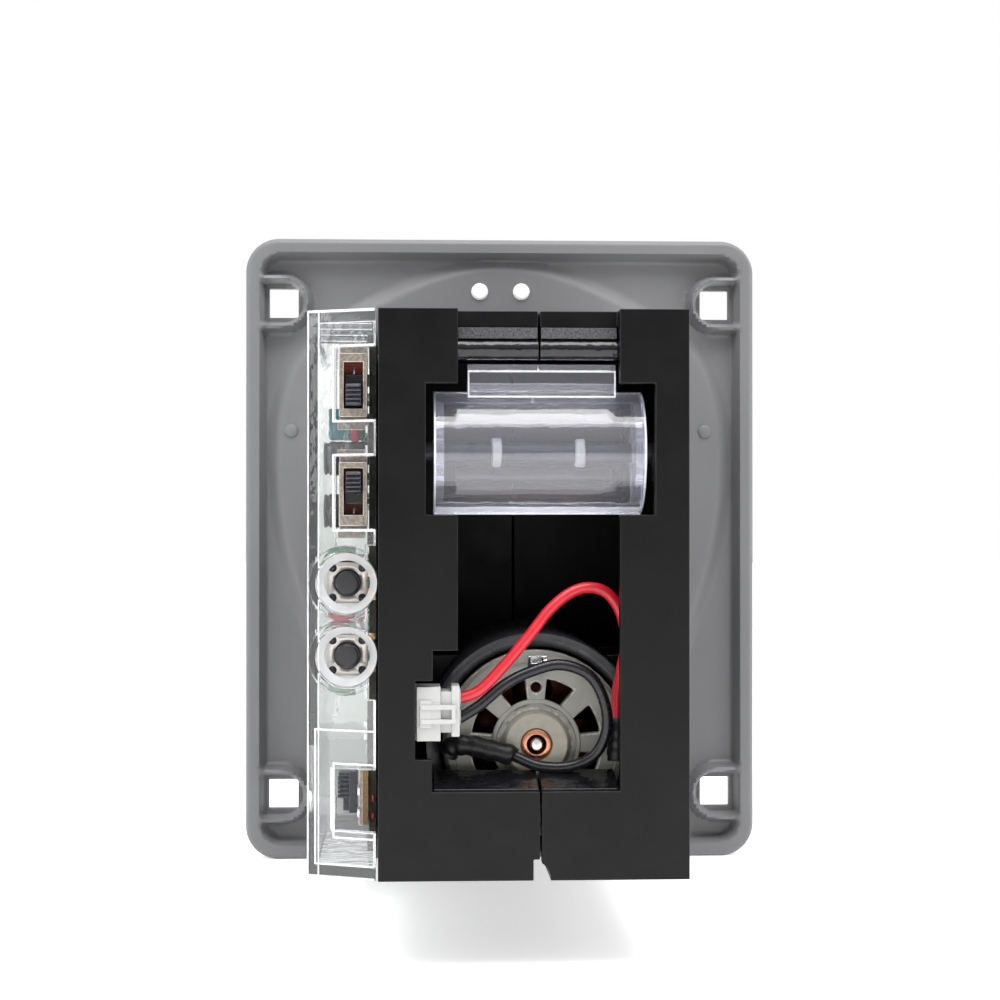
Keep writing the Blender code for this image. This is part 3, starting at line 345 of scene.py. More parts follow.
# Colour of a dark strip: painted shade for the dark gap between the cover and the housing.
BOARD_EDGE = finish("board_edge", (0.2, 0.12, 0.045), 0.6, mottle=(0.35, 0.35), grain=(0.8, 0.15))
GAP_SHADE = finish("painted_gap_shade", (0.03, 0.024, 0.02), 0.6, mottle=(0.5, 0.5), grain=(0.8, 0.2))
CHIP = finish("chip_epoxy", (0.02, 0.02, 0.022), 0.55, mottle=(0.1, 0.5), grain=(0.6, 0.12))
CERAMIC = finish("ceramic_part", (0.42, 0.3, 0.2), 0.45, mottle=(0.15, 0.4), grain=(0.3, 0.1))
TEAL = finish("teal_part", (0.03, 0.14, 0.15), 0.4, mottle=(0.15, 0.8), grain=(0.3, 0.2))
PINK = finish("red_part", (0.42, 0.03, 0.05), 0.35, mottle=(0.15, 0.6), grain=(0.3, 0.2))


TRACE_SCALE, TRACE_GAP, TRACE_RISE = 160.0, 0.035, 0.03
TRACE_GREEN = (0.03, 0.2, 0.085, 1)


def board_finish():
    """Green solder mask over a grid of traces, with the same grid slightly raised."""
    made = finish("solder_mask", (0.012, 0.085, 0.035), 0.32, mottle=(0.12, 3.0), grain=(0.2, 0.2))
    nodes, links = made.node_tree.nodes, made.node_tree.links
    shader = nodes["Principled BSDF"]
    where = nodes.new("ShaderNodeTexCoord")
    tiles = nodes.new("ShaderNodeTexBrick")
    turn = nodes.new("ShaderNodeMapping")
    turn.inputs["Rotation"].default_value = (0, math.pi / 2, 0)
    tiles.inputs["Scale"].default_value = TRACE_SCALE
    tiles.inputs["Mortar Size"].default_value = TRACE_GAP
    tiles.inputs["Color1"].default_value = (0, 0, 0, 1)
    tiles.inputs["Color2"].default_value = (0.12, 0.12, 0.12, 1)
    tiles.inputs["Mortar"].default_value = (1, 1, 1, 1)
    links.new(where.outputs["Object"], turn.inputs["Vector"])
    links.new(turn.outputs[0], tiles.inputs["Vector"])
    under = shader.inputs["Base Color"].links[0].from_socket
    traced = mixed(made, tiles.outputs["Color"], under, TRACE_GREEN)
    links.new(traced, shader.inputs["Base Color"])
    bump = shader.inputs["Normal"].links[0].from_node
    links.new(tiles.outputs["Color"], bump.inputs["Height"])
    bump.inputs["Distance"].default_value = TRACE_RISE * MM
    bump.inputs["Strength"].default_value = 0.5
    return made


BOARD = board_finish()

# ---------------------------------------------------------------- mesh building


SHARP = 0.5
SMOOTH = 0.7
WELD, FLAT = 0.003, 0.01


class Shape:
    """Gathers closed forms into one mesh. Points are (x, depth, z) in millimetres."""

    def __init__(self):
        self.form = bmesh.new()

    def soften(self, verts, width, steps=2):
        """Rounds the sharp edges, and marks the new faces for the lighter edge finish: wear and painted
        highlight.
        """
        edges = {e for v in verts for e in v.link_edges if e.calc_face_angle(0) > SHARP}
        bmesh.ops.bevel(
            self.form, geom=list(edges), offset=width, segments=steps, profile=0.5,
            affect="EDGES", clamp_overlap=True, material=1,
        )

    def belt(self, near, far):
        """Faces between two loops of equally many points."""
        faces = []
        for i in range(len(near)):
            k = (i + 1) % len(near)
            faces.append(self.form.faces.new((near[i], near[k], far[k], far[i])))
        return faces

    def box(self, x, depth, z, soft=0.15, steps=2):
        """A box between two x values, two depths and two z values."""
        pairs = (x, depth, z)
        size = [abs(pair[1] - pair[0]) for pair in pairs]
        middle = Matrix.Translation([sum(pair) / 2 for pair in pairs])
        matrix = middle @ Matrix.Diagonal((*size, 1))
        made = bmesh.ops.create_cube(self.form, size=1.0, matrix=matrix)
        self.soften(made["verts"], soft, steps)
        return self

    def boxes(self, *rows):
        """A box for each row of x, depth, z and softness."""
        for row in rows:
            self.box(*row)
        return self

    def rod(self, start, end, radius, soft=0.1, sides=32):
        """A cylinder between two points."""
        start, end = Vector(start), Vector(end)
        along = end - start
        turn = along.to_track_quat("Z", "Y").to_matrix().to_4x4()
        made = bmesh.ops.create_cone(
            self.form, cap_ends=True, segments=sides, radius1=radius, radius2=radius,
            depth=along.length, matrix=Matrix.Translation((start + end) / 2) @ turn,
        )
        self.soften(made["verts"], soft)
        return self

    def ball(self, at, radius, squash=(1, 1, 1)):
        matrix = Matrix.Translation(at) @ Matrix.Diagonal((*squash, 1))
        bmesh.ops.create_icosphere(self.form, subdivisions=3, radius=radius, matrix=matrix)
        return self

    def turned(self, at, profile, axis="D", steps=64):
        """A closed profile of (radius, height) pairs turned about an axis through at, X or D."""
        rings = []
        for radius, height in profile:
            ring = []
            for i in range(steps):
                angle = 2 * math.pi * i / steps
                across, up = radius * math.cos(angle), radius * math.sin(angle)
                local = (height, across, up) if axis == "X" else (across, height, up)
                ring.append(self.form.verts.new(Vector(at) + Vector(local)))
            rings.append(ring)
        faces = []
        for near, far in zip(rings, rings[1:] + rings[:1]):
            faces += self.belt(near, far)
        bmesh.ops.recalc_face_normals(self.form, faces=faces)
        return self

    def prism(self, outline, axis, span, soft, steps=2):
        """An outline of (depth, z) points pushed along X, or of (x, depth) points along Z."""
        order = (2, 0, 1) if axis == "X" else (0, 1, 2)
        loops = []
        for height in span:
            loop = []
            for first, second in outline:
                values = (first, second, height)
                loop.append(self.form.verts.new([values[k] for k in order]))
            loops.append(loop)
        faces = [self.form.faces.new(loop) for loop in loops]
        faces += self.belt(*loops)
        bmesh.ops.recalc_face_normals(self.form, faces=faces)
        self.soften(loops[0] + loops[1], soft, steps)
        return self

    def sweep(self, route, radii, sides):
        """A tube along a list of points, with one radius, or one for each point."""
        points = [Vector(p) for p in route]
        if not isinstance(radii, (list, tuple)):
            radii = [radii] * len(points)
        first = points[1] - points[0]
        side = Vector((0, 1, 0)) if abs(first.z) > 0.9 * first.length else Vector((0, 0, 1))
        rings = []
        for i, point in enumerate(points):
            along = (points[min(i + 1, len(points) - 1)] - points[max(i - 1, 0)]).normalized()
            side = (side - along * side.dot(along)).normalized()
            other = along.cross(side)
            ring = []
            for k in range(sides):
                angle = 2 * math.pi * k / sides
                offset = side * math.cos(angle) + other * math.sin(angle)
                ring.append(self.form.verts.new(point + offset * radii[i]))
            rings.append(ring)
        faces = [self.form.faces.new(rings[0]), self.form.faces.new(rings[-1])]
        for near, far in zip(rings, rings[1:]):
            faces += self.belt(near, far)
        bmesh.ops.recalc_face_normals(self.form, faces=faces)
        return self

    def done(self, name, material, slot, body="root", replaces=()):
        mesh = bpy.data.meshes.new(name)
        self.form.transform(TO_WORLD)
        self.form.to_mesh(mesh)
        self.form.free()
        piece(name, mesh, material, body, replaces)


def piece(name, mesh, material, body="root", replaces=(), smooth=SMOOTH):
    """A shown piece that rides on a body, and may stand for CAD nodes."""
    mesh.shade_smooth()
    mesh.set_sharp_from_angle(angle=smooth)
    mesh.materials.append(material)
    # Rounded edges take the lighter second finish: edge wear and painted edge highlight.
    if material.name in WORN_AND_HIGHLIT_EDGES:
        mesh.materials.append(WORN_AND_HIGHLIT_EDGES[material.name])
    thing = bpy.data.objects.new(name, mesh)
    bpy.context.scene.collection.objects.link(thing)
    weights = thing.modifiers.new("weighted_normals", "WEIGHTED_NORMAL")
    weights.keep_sharp = True
    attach(thing, body)
    if replaces:
        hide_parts(*replaces)
    return thing


def refined(node, material, soft, steps=2, body="root", limit=SHARP, smooth=0.6):
    """A CAD node's own shape again, with its edges rounded."""
    source = frame["nodes"][node]
    form = bmesh.new()
    form.from_mesh(source.data)
    bmesh.ops.remove_doubles(form, verts=form.verts, dist=WELD * MM)
    bmesh.ops.dissolve_limit(form, angle_limit=FLAT, verts=form.verts, edges=form.edges)
    points = [v.co.copy() for v in form.verts]
    form.verts.index_update()
    faces = [[v.index for v in face.verts] for face in form.faces]
    form.free()
    mesh = bpy.data.meshes.new(node + "_finished")
    mesh.from_pydata(points, [], faces)
    thing = piece(node + "_finished", mesh, material, body, (node,), smooth)
    rounding = thing.modifiers.new("rounding", "BEVEL")
    rounding.width = soft * MM
    rounding.segments = steps
    rounding.limit_method = "ANGLE"
    rounding.angle_limit = limit
    rounding.use_clamp_overlap = False
    # The rounded faces take the lighter second finish: edge wear and painted edge highlight.
    rounding.material = 1 if len(mesh.materials) > 1 else -1
    thing.modifiers.move(1, 0)


def arc(middle, radius, start, end, steps):
    """Points of a circular arc, with its angles in degrees."""
    points = []
    for i in range(steps + 1):
        angle = math.radians(start + (end - start) * i / steps)
        points.append((middle[0] + radius * math.cos(angle), middle[1] + radius * math.sin(angle)))
    return points


def smooth_route(route, samples):
    """Catmull-Rom points through a list of places."""
    ends = [Vector(p) for p in route]
    padded = [2 * ends[0] - ends[1], *ends, 2 * ends[-1] - ends[-2]]
    points = []
    for i in range(1, len(padded) - 2):
        a, b, c, d = padded[i - 1 : i + 3]
        for step in range(samples):
            t = step / samples
            square = (2 * a - 5 * b + 4 * c - d) * t**2
            cube = (3 * b - a - 3 * c + d) * t**3
            points.append((2 * b + (c - a) * t + square + cube) / 2)
    points.append(ends[-1])
    return points


# ---------------------------------------------------------------- bezel

BEZEL_HALF, BEZEL_HEIGHT, BEZEL_CORNER, BEZEL_RIM = 48.5, 118.0, 6.3, 3.2
RIM_DEPTH, FLOOR_DEPTH, FRONT_DEPTH, SHIELD_RISE = 100.0, 103.5, 106.0, 1.3
BOLTS = [(x, z) for x in (-41.5, 41.5) for z in (12.0, 106.0)]
BOLT_HALF = 2.8
WINDOW = ((-16.0, 13.0), (22.0, 94.5))
LANDING = ((-24.0, 23.6), (12.4, 96.4))
GRID = 0.5
SHIELD_SLOPE = 3.2
BOSS_REACH, BOSS_SLOPE, BOSS_SINK = 5.3, 0.9, 0.2
POCKET_REACH, POCKET_SLOPE = 3.95, 0.8
RIM_ROUND, RIM_SLOPE = 0.6, 1.1
LANDING_CORNER, LANDING_SLOPE = 0.5, 0.4
REAR_FILLET, FRONT_FILLET = 0.7, 1.6
GROOVE_INSET, GROOVE_HALF, GROOVE_DEPTH, GROOVE_SLOPE = 3.4, 0.5, 0.35, 0.5
RECESS_RADIUS, RECESS_DEPTH, RECESS_SLOPE = 5.4, 0.6, 0.6
SHIELD_HALF = (
    (9.0, 114.2), (28.5, 105.9), (40.0, 97.0), (44.6, 84.0), (44.8, 70.0),
    (42.6, 56.0), (37.0, 38.7), (29.5, 17.0), (20.0, 7.5), (7.0, 6.6),
)


def shield_points(samples):
    """The shield round the snout, as a smooth closed curve."""
    right = [Vector(p) for p in SHIELD_HALF]
    ends = right + [Vector((-p.x, p.y)) for p in reversed(right)]
    closed = ends[-1:] + ends + ends[:2]
    points = []
    for i in range(len(ends)):
        points += smooth_route(closed[i : i + 4], samples)[samples : 2 * samples]
    return points


def box_distance(x, z, x_span, z_span, corner=0.0):
    """Signed distance from a box with round corners, negative inside."""
    away_x = np.abs(x - sum(x_span) / 2) - (x_span[1] - x_span[0]) / 2 + corner
    away_z = np.abs(z - sum(z_span) / 2) - (z_span[1] - z_span[0]) / 2 + corner
    outside = np.hypot(np.maximum(away_x, 0), np.maximum(away_z, 0))
    return outside + np.minimum(np.maximum(away_x, away_z), 0) - corner


def loop_distance(x, z, loop):
    """Signed distance from a closed loop of points, negative inside."""
    nearest = np.full(x.shape, 1e9)
    inside = np.zeros(x.shape, bool)
    for first, second in zip(loop, loop[1:] + loop[:1]):
        along = second - first
        share = ((x - first.x) * along.x + (z - first.y) * along.y) / along.length_squared
        share = np.clip(share, 0, 1)
        away = np.hypot(x - first.x - share * along.x, z - first.y - share * along.y)
        nearest = np.minimum(nearest, away)
        if first.y != second.y:
            crossing = (first.y > z) != (second.y > z)
            inside ^= crossing & (x < along.x * (z - first.y) / along.y + first.x)
    return np.where(inside, -nearest, nearest)


def eased(distance, width):
    """1 well inside a shape and 0 well outside, with a soft step of the given width."""
    share = np.clip(0.5 - distance / width, 0, 1)
    return share * share * (3 - 2 * share)


def blended(depth, target, share):
    return depth * (1 - share) + target * share


def edge_inset(x, z):
    """How far a point lies inside the bezel's outline."""
    return -box_distance(x, z, (-BEZEL_HALF, BEZEL_HALF), (0, BEZEL_HEIGHT), BEZEL_CORNER)


def rear_depth(x, z):
    """The depth of the bezel's rear face: rim, shield, bolt bosses and the housing's landing."""
    depth = np.full(x.shape, FLOOR_DEPTH)
    shield = loop_distance(x, z, shield_points(4)) + SHIELD_SLOPE / 2
    depth -= SHIELD_RISE * eased(shield, SHIELD_SLOPE)
    for bolt_x, bolt_z in BOLTS:
        reach = (bolt_x, math.copysign(BEZEL_HALF + 6, bolt_x))
        span = (min(reach), max(reach))
        flat = (bolt_z, bolt_z + 1e-6)
        away = box_distance(x, z, span, flat)
        depth = blended(depth, RIM_DEPTH + BOSS_SINK, eased(away - BOSS_REACH, BOSS_SLOPE))
        depth = blended(depth, FLOOR_DEPTH, eased(away - POCKET_REACH, POCKET_SLOPE))
    inner = box_distance(
        x, z, (-BEZEL_HALF + BEZEL_RIM, BEZEL_HALF - BEZEL_RIM),
        (BEZEL_RIM, BEZEL_HEIGHT - BEZEL_RIM), BEZEL_CORNER - BEZEL_RIM + RIM_ROUND,
    )
    depth = blended(depth, RIM_DEPTH, eased(-inner, RIM_SLOPE))
    landing = box_distance(x, z, *LANDING, LANDING_CORNER)
    depth = blended(depth, RIM_DEPTH, eased(landing, LANDING_SLOPE))
    return depth + fillet(edge_inset(x, z), REAR_FILLET)


def front_depth(x, z):
    """The depth of the bezel's front face: rounded edge, a shallow groove and the bolt recesses."""
    edge = edge_inset(x, z)
    groove = eased(np.abs(edge - GROOVE_INSET) - GROOVE_HALF, GROOVE_SLOPE)
    depth = FRONT_DEPTH - fillet(edge, FRONT_FILLET) - GROOVE_DEPTH * groove
    for bolt_x, bolt_z in BOLTS:
        away = np.hypot(x - bolt_x, z - bolt_z) - RECESS_RADIUS
        depth = depth - RECESS_DEPTH * eased(away, RECESS_SLOPE)
    return depth


def fillet(edge, radius):
    """How far a face falls back near its rounded edge."""
    near = np.clip(radius - edge, 0, radius)
    return radius - np.sqrt(radius * radius - near * near)


def make_bezel():
    """The bezel plate as two height fields, joined round its outline and its openings."""
    x_lines = set(np.round(np.arange(-BEZEL_HALF, BEZEL_HALF + 0.01, GRID), 3)) | set(WINDOW[0])
    z_lines = set(np.round(np.arange(0, BEZEL_HEIGHT + 0.01, GRID), 3)) | set(WINDOW[1])
    x_lines |= {x + side for x, _ in BOLTS for side in (-BOLT_HALF, BOLT_HALF)}
    z_lines |= {z + side for _, z in BOLTS for side in (-BOLT_HALF, BOLT_HALF)}
    xs, zs = np.array(sorted(x_lines), float), np.array(sorted(z_lines), float)
    x, z = np.meshgrid(xs, zs, indexing="ij")
    middle = BEZEL_HEIGHT / 2
    u = (np.abs(x) - (BEZEL_HALF - BEZEL_CORNER)) / BEZEL_CORNER
    v = (np.abs(z - middle) - (middle - BEZEL_CORNER)) / BEZEL_CORNER
    corner = (u > 0) & (v > 0)
    round_u = u * np.sqrt(np.maximum(0, 1 - v * v / 2))
    round_v = v * np.sqrt(np.maximum(0, 1 - u * u / 2))
    x = np.where(corner, np.sign(x) * (BEZEL_HALF - BEZEL_CORNER + BEZEL_CORNER * round_u), x)
    reach = middle - BEZEL_CORNER + BEZEL_CORNER * round_v
    z = np.where(corner, middle + np.sign(z - middle) * reach, z)
    rows, columns = x.shape
    holes = [WINDOW]
    for bolt in BOLTS:
        holes.append([(at - BOLT_HALF, at + BOLT_HALF) for at in bolt])
    cell_x, cell_z = np.meshgrid((xs[1:] + xs[:-1]) / 2, (zs[1:] + zs[:-1]) / 2, indexing="ij")
    solid = np.ones(cell_x.shape, bool)
    for (left, right), (low, high) in holes:
        solid &= ~((cell_x > left) & (cell_x < right) & (cell_z > low) & (cell_z < high))
    points = []
    for depth in (rear_depth(x, z), front_depth(x, z)):
        points += np.stack([x, depth, z], axis=-1).reshape(-1, 3).tolist()

    def at(i, k, layer):
        return layer * rows * columns + i * columns + k

    faces = []
    for i in range(rows - 1):
        for k in range(columns - 1):
            if not solid[i, k]:
                continue
            faces.append((at(i, k, 0), at(i + 1, k, 0), at(i + 1, k + 1, 0), at(i, k + 1, 0)))
            faces.append((at(i, k, 1), at(i, k + 1, 1), at(i + 1, k + 1, 1), at(i + 1, k, 1)))
            sides = (
                ((i - 1, k), (i, k + 1), (i, k)), ((i + 1, k), (i + 1, k), (i + 1, k + 1)),
                ((i, k - 1), (i, k), (i + 1, k)), ((i, k + 1), (i + 1, k + 1), (i, k + 1)),
            )
            for (ni, nk), first, second in sides:
                open_side = not (0 <= ni < rows - 1 and 0 <= nk < columns - 1) or not solid[ni, nk]
                if open_side:
                    faces.append((at(*first, 0), at(*second, 0), at(*second, 1), at(*first, 1)))
    mesh = bpy.data.meshes.new("bezel_moulding")
    mesh.from_pydata([TO_WORLD @ Vector(p) for p in points], [], faces)
    mesh.validate()
    form = bmesh.new()
    form.from_mesh(mesh)
    loose = [v for v in form.verts if not v.link_faces]
    bmesh.ops.delete(form, geom=loose, context="VERTS")
    bmesh.ops.recalc_face_normals(form, faces=form.faces)
    form.to_mesh(mesh)
    form.free()
    piece("bezel_moulding", mesh, GREY, replaces=("bezel_plate",), smooth=0.9)
    marks = Shape()
    for x_mark in (-40.0, 39.4):
        marks.turned((x_mark, 101.9, 81.5), [(0.01, 0), (1.1, 0), (1.25, 0.12), (1.25, 0.6), (0.01, 0.6)])
    marks.done("ejector_marks", GREY, "grey_plastic")
    refined("bezel_snout", GREY, 0.5, 3, limit=0.6, smooth=0.8)
    # The lenses glow with painted light, standing for light shining through the windows.
    for word, x_window in (("left", -4.0), ("right", 4.0)):
        lens = [(0.01, 0), (1.3, 0.05), (1.6, 0.4), (1.6, 6.6), (1.3, 7.0), (0.01, 7.1)]
        Shape().turned((x_window, 101.6, 108.3), lens, steps=32).done(
            f"window_lens_{word}", MILKY, "clear_plastic", replaces=(f"led_window_{word}",)
        )


# ---------------------------------------------------------------- housing

SEAM_LEFT, SEAM_RIGHT = 0.75, 1.05
BAR_AXIS = (4.5, 89.4)
RIB_DEPTHS = (16.0, 36.0, 56.0, 76.0)


def make_housing():
    refined("left_shell", BLACK, 0.12)
    refined("right_shell", BLACK, 0.12, body="door")
    halves = (("left", "root", -11.0, SEAM_LEFT, -14.5), ("right", "door", SEAM_RIGHT, 12.3, 12.1))
    for word, body, low, high, ledge_end in halves:
        bar = [(1.43, low), (1.5, low + 0.1), (1.5, high - 0.1), (1.43, high), (1.2, high), (1.2, low)]
        Shape().turned((0, *BAR_AXIS), bar, "X", 40).done(
            f"polished_bar_{word}", GLOSS_BLACK, "black_plastic", body
        )
        # The etched strips are lighter than the shell: real etched texture plus painted sheen.
        Shape().box((low + 0.1, high - 0.1), (3.5, 4.3), (90.95, 92.55), 0.12).done(
            f"etched_sheen_strip_{word}", ETCHED_AND_SHEEN, "black_plastic", body
        )
        start, end = (ledge_end, high) if word == "left" else (low, ledge_end)
        ledge = [(1.15, 25.7), (8.2, 27.72), (8.35, 27.95), (7.9, 28.05), (1.2, 26.05)]
        Shape().prism(ledge, "X", (start + 0.1, end - 0.1), 0.08).done(
            f"polished_ledge_{word}", GLOSS_BLACK, "black_plastic", body
        )


def make_door_details():
    """Round-socket screws and a stiffening frame on the door's outer face, and the roof's ribs."""
    screws = Shape()
    head = [
        (0.01, -0.1), (0.9, -0.1), (0.95, 0.4), (1.1, 0.55),
        (1.7, 0.5), (2.1, 0.2), (2.15, -0.3), (0.01, -0.3),
    ]
    for depth in (9.0, 91.5):
        for z in (88.5, 18.5):
            screws.turned((22.3, depth, z), head, "X", 48)
    screws.done("door_screws", STEEL, "steel", "door")
    rails = Shape()
    for z in (22.5, 84.0):
        rails.box((22.1, 22.65), (6.0, 76.0), (z, z + 0.9), 0.2)
    for depth in (6.0, 75.1):
        rails.box((22.1, 22.65), (depth, depth + 0.9), (22.5, 84.9), 0.2)
    for k in range(7):
        z = 30.0 + 7.6 * k
        rails.box((22.1, 22.5), (14.0, 68.0), (z, z + 0.7), 0.15)
    rails.done("door_rails", BLACK, "black_plastic", "door")
    for word, body, x in (("left", "root", (-20.0, -3.0)), ("right", "door", (4.0, 20.0))):
        ribs = Shape()
        for depth in RIB_DEPTHS:
            ribs.box(x, (depth, depth + 0.8), (94.9, 95.45), 0.18)
        ribs.done(f"roof_ribs_{word}", BLACK, "black_plastic", body)


# ---------------------------------------------------------------- motor

MOTOR = (0.9, 31.5)
COILS, COIL_RING = 5, 7.2


def make_motor():
    x, z = MOTOR
    refined("motor_end_bell", BELL, 0.25)
    collar = [(2.4, 9.75), (3.4, 9.55), (4.5, 9.6), (4.9, 10.05), (4.95, 11.1), (2.4, 11.1)]
    Shape().turned((x, 0, z), collar, steps=72).done("bell_boss", BOSS, "bell_plastic")
    ridge = [(5.9, 11.02), (6.0, 10.8), (6.5, 10.8), (6.65, 11.02), (6.6, 11.3), (5.9, 11.3)]
    lip = [(12.0, 11.05), (12.2, 10.75), (13.2, 10.8), (13.5, 11.2), (13.4, 11.7), (12.0, 11.4)]
    Shape().turned((x, 0, z), ridge, steps=72).done("bell_ridge", BELL, "bell_plastic")
    Shape().turned((x, 0, z), lip, steps=96).done("bell_lip", BELL, "bell_plastic")
    bush = [(1.32, 10.1), (1.5, 9.75), (2.0, 9.75), (2.3, 10.0), (2.3, 13.2), (1.32, 13.2)]
    Shape().turned((x, 0, z), bush, steps=48).done(
        "bush_ring", BRONZE, "bronze", replaces=("motor_bushing",)
    )
    tip = [(0.01, 9.35), (0.72, 9.4), (0.98, 9.7), (1.0, 10.2), (1.0, 55.0), (0.01, 55.0)]
    Shape().turned((x, 0, z), tip, steps=40).done(
        "shaft_bar", STEEL, "steel", "rotor", ("motor_shaft",)
    )
    ring = [
        (14.2, 13.2), (14.6, 12.7), (15.7, 12.45), (16.25, 12.45),
        (16.5, 12.75), (16.5, 48.3), (16.3, 48.6), (14.2, 48.6),
    ]
    Shape().turned((x, 0, z), ring, steps=128).done(
        "flux_sleeve", DARK_STEEL, "dark_steel", replaces=("flux_ring",)
    )
    Shape().boxes(
        ((x - 0.9, x + 0.75), (9.7, 10.0), (z + 11.9, z + 13.1), 0.12),
        ((x - 1.25, x + 1.6), (9.75, 13.0), (z + 12.9, z + 13.2), 0.12),
        ((x + 1.0, x + 1.6), (9.9, 10.2), (z + 12.3, z + 13.1), 0.1),
    ).done("motor_clip", SOLDER, "steel")
    Shape().box((x - 1.2, x + 1.3), (10.6, 11.3), (z + 10.4, z + 12.6), 0.2).done(
        "clip_pocket", RUBBER, "black_parts"
    )
    refined("gearhead_case", DARK_GUIDE, 0.4)
    refined("motor_can", DARK_STEEL, 0.3)
    # The windings' copper is darkened to paint the shade inside the can.
    coil = Shape()
    for i in range(COILS):
        angle = math.radians(90 + 360 / COILS * i)
        at = (x + COIL_RING * math.cos(angle), 20.2, z + COIL_RING * math.sin(angle))
        coil.ball(at, 3.1, (1.0, 0.55, 1.0))
    coil.done("winding_heads", COPPER, "bronze", "rotor")


# ---------------------------------------------------------------- leads and plug

RED_ROUTE = (
    (-10.9, 3.6, 39.0), (-10.4, 3.6, 39.0), (-7.7, 3.6, 40.1), (-4.1, 4.0, 43.7), (-0.4, 4.5, 48.0),
    (2.5, 5.0, 51.6), (5.5, 5.5, 54.0), (8.4, 6.0, 54.8), (11.1, 6.5, 53.9), (13.1, 7.0, 51.0),
    (13.9, 7.6, 46.8), (13.3, 8.0, 42.7), (12.6, 8.0, 38.6), (12.6, 8.0, 34.0),
)
BLACK_ROUTE = (
    (-10.9, 3.6, 36.2), (-10.4, 3.6, 36.2), (-7.7, 3.7, 37.9), (-4.1, 4.2, 40.8), (-0.4, 4.6, 42.6),
    (4.0, 5.0, 43.6), (8.2, 5.2, 42.1), (10.4, 5.4, 38.5), (10.9, 5.6, 34.2), (9.2, 6.2, 30.4),
    (5.6, 6.8, 28.6), (1.2, 7.3, 28.6), (-2.2, 8.0, 29.9), (-3.4, 8.2, 30.4),
)
SLEEVE_LEFT = (
    (-2.5, 8.1, 29.95), (-3.0, 8.15, 30.15), (-5.6, 8.2, 30.75), (-8.0, 8.3, 31.35),
    (-10.2, 8.5, 31.6), (-11.6, 8.9, 31.2), (-12.2, 9.3, 30.4),
)


LEAD_RADIUS = 0.82


def shrunk_sleeve(word, route, narrow, swell, run, ripple, pace):
    """Heat-shrink tube that swells over its first points, with a faint ripple along it."""
    radii = []
    for i in range(len(route)):
        radii.append(narrow + swell * min(1, i / run) + ripple * math.sin(i * pace))
    Shape().sweep(route, radii, 28).done(
        f"shrunk_sleeve_{word}", SLEEVE, "black_pvc", replaces=(f"sleeve_{word}",)
    )


def make_leads():
    for word, route, material in (("red", RED_ROUTE, RED), ("black", BLACK_ROUTE, BLACK_PVC)):
        Shape().sweep(smooth_route(route, 8), LEAD_RADIUS, 24).done(
            f"{word}_lead", material, f"{word}_pvc", replaces=(f"{word}_wire",)
        )
    shrunk_sleeve("left", smooth_route(SLEEVE_LEFT, 6), 0.95, 0.55, 5, 0.09, 1.1)
    straight = [(12.6, 8.1, 35.6 - 0.35 * i) for i in range(19)]
    shrunk_sleeve("right", straight, 1.0, 0.45, 3, 0.07, 1.4)


def make_plug():
    Shape().boxes(
        ((-16.9, -13.45), (0.8, 6.6), (33.0, 40.8), 0.14),
        ((-20.1, -16.5), (2.4, 6.6), (33.0, 40.8), 0.14),
        ((-16.5, -14.7), (0.5, 1.2), (34.9, 38.9), 0.16),
        ((-15.2, -13.4), (0.56, 1.2), (35.35, 38.45), 0.12),
    ).done("socket_body", WHITE, "white_nylon", replaces=("motor_socket",))
    plug = Shape().boxes(
        ((-13.5, -11.6), (1.2, 6.2), (34.2, 40.1), 0.12),
        ((-11.9, -10.7), (0.9, 6.5), (33.6, 40.9), 0.18),
        ((-16.3, -11.2), (0.28, 1.4), (37.55, 38.2), 0.1),
        ((-16.3, -11.2), (0.28, 1.4), (35.5, 36.15), 0.1),
        ((-11.9, -11.3), (0.3, 1.4), (35.5, 38.2), 0.1),
    )
    for z in (39.0, 36.2):
        plug.turned((-11.0, 3.6, z), [(0.85, 0), (1.25, 0), (1.25, 0.45), (0.85, 0.5)], "X", 24)
    plug.done("plug_body", WHITE, "white_nylon", replaces=("motor_plug",))
    pins = Shape()
    for z in (38.4, 35.4):
        pins.box((-18.6, -18.0), (1.7, 2.5), (z - 0.3, z + 0.3), 0.08)
    pins.done("socket_pins", SOLDER, "steel")


# ---------------------------------------------------------------- hood and spindle

HOOD_AXIS = (9.3, 74.55)
HOOD_END_LEFT, HOOD_END_RIGHT = -14.4, 16.2


def half_ring(outer, inner, start, end, outer_steps, inner_steps):
    """The outline of a half ring about the hood's axis."""
    shell = arc(HOOD_AXIS, outer, start, end, outer_steps)
    return shell + arc(HOOD_AXIS, inner, end, start, inner_steps)


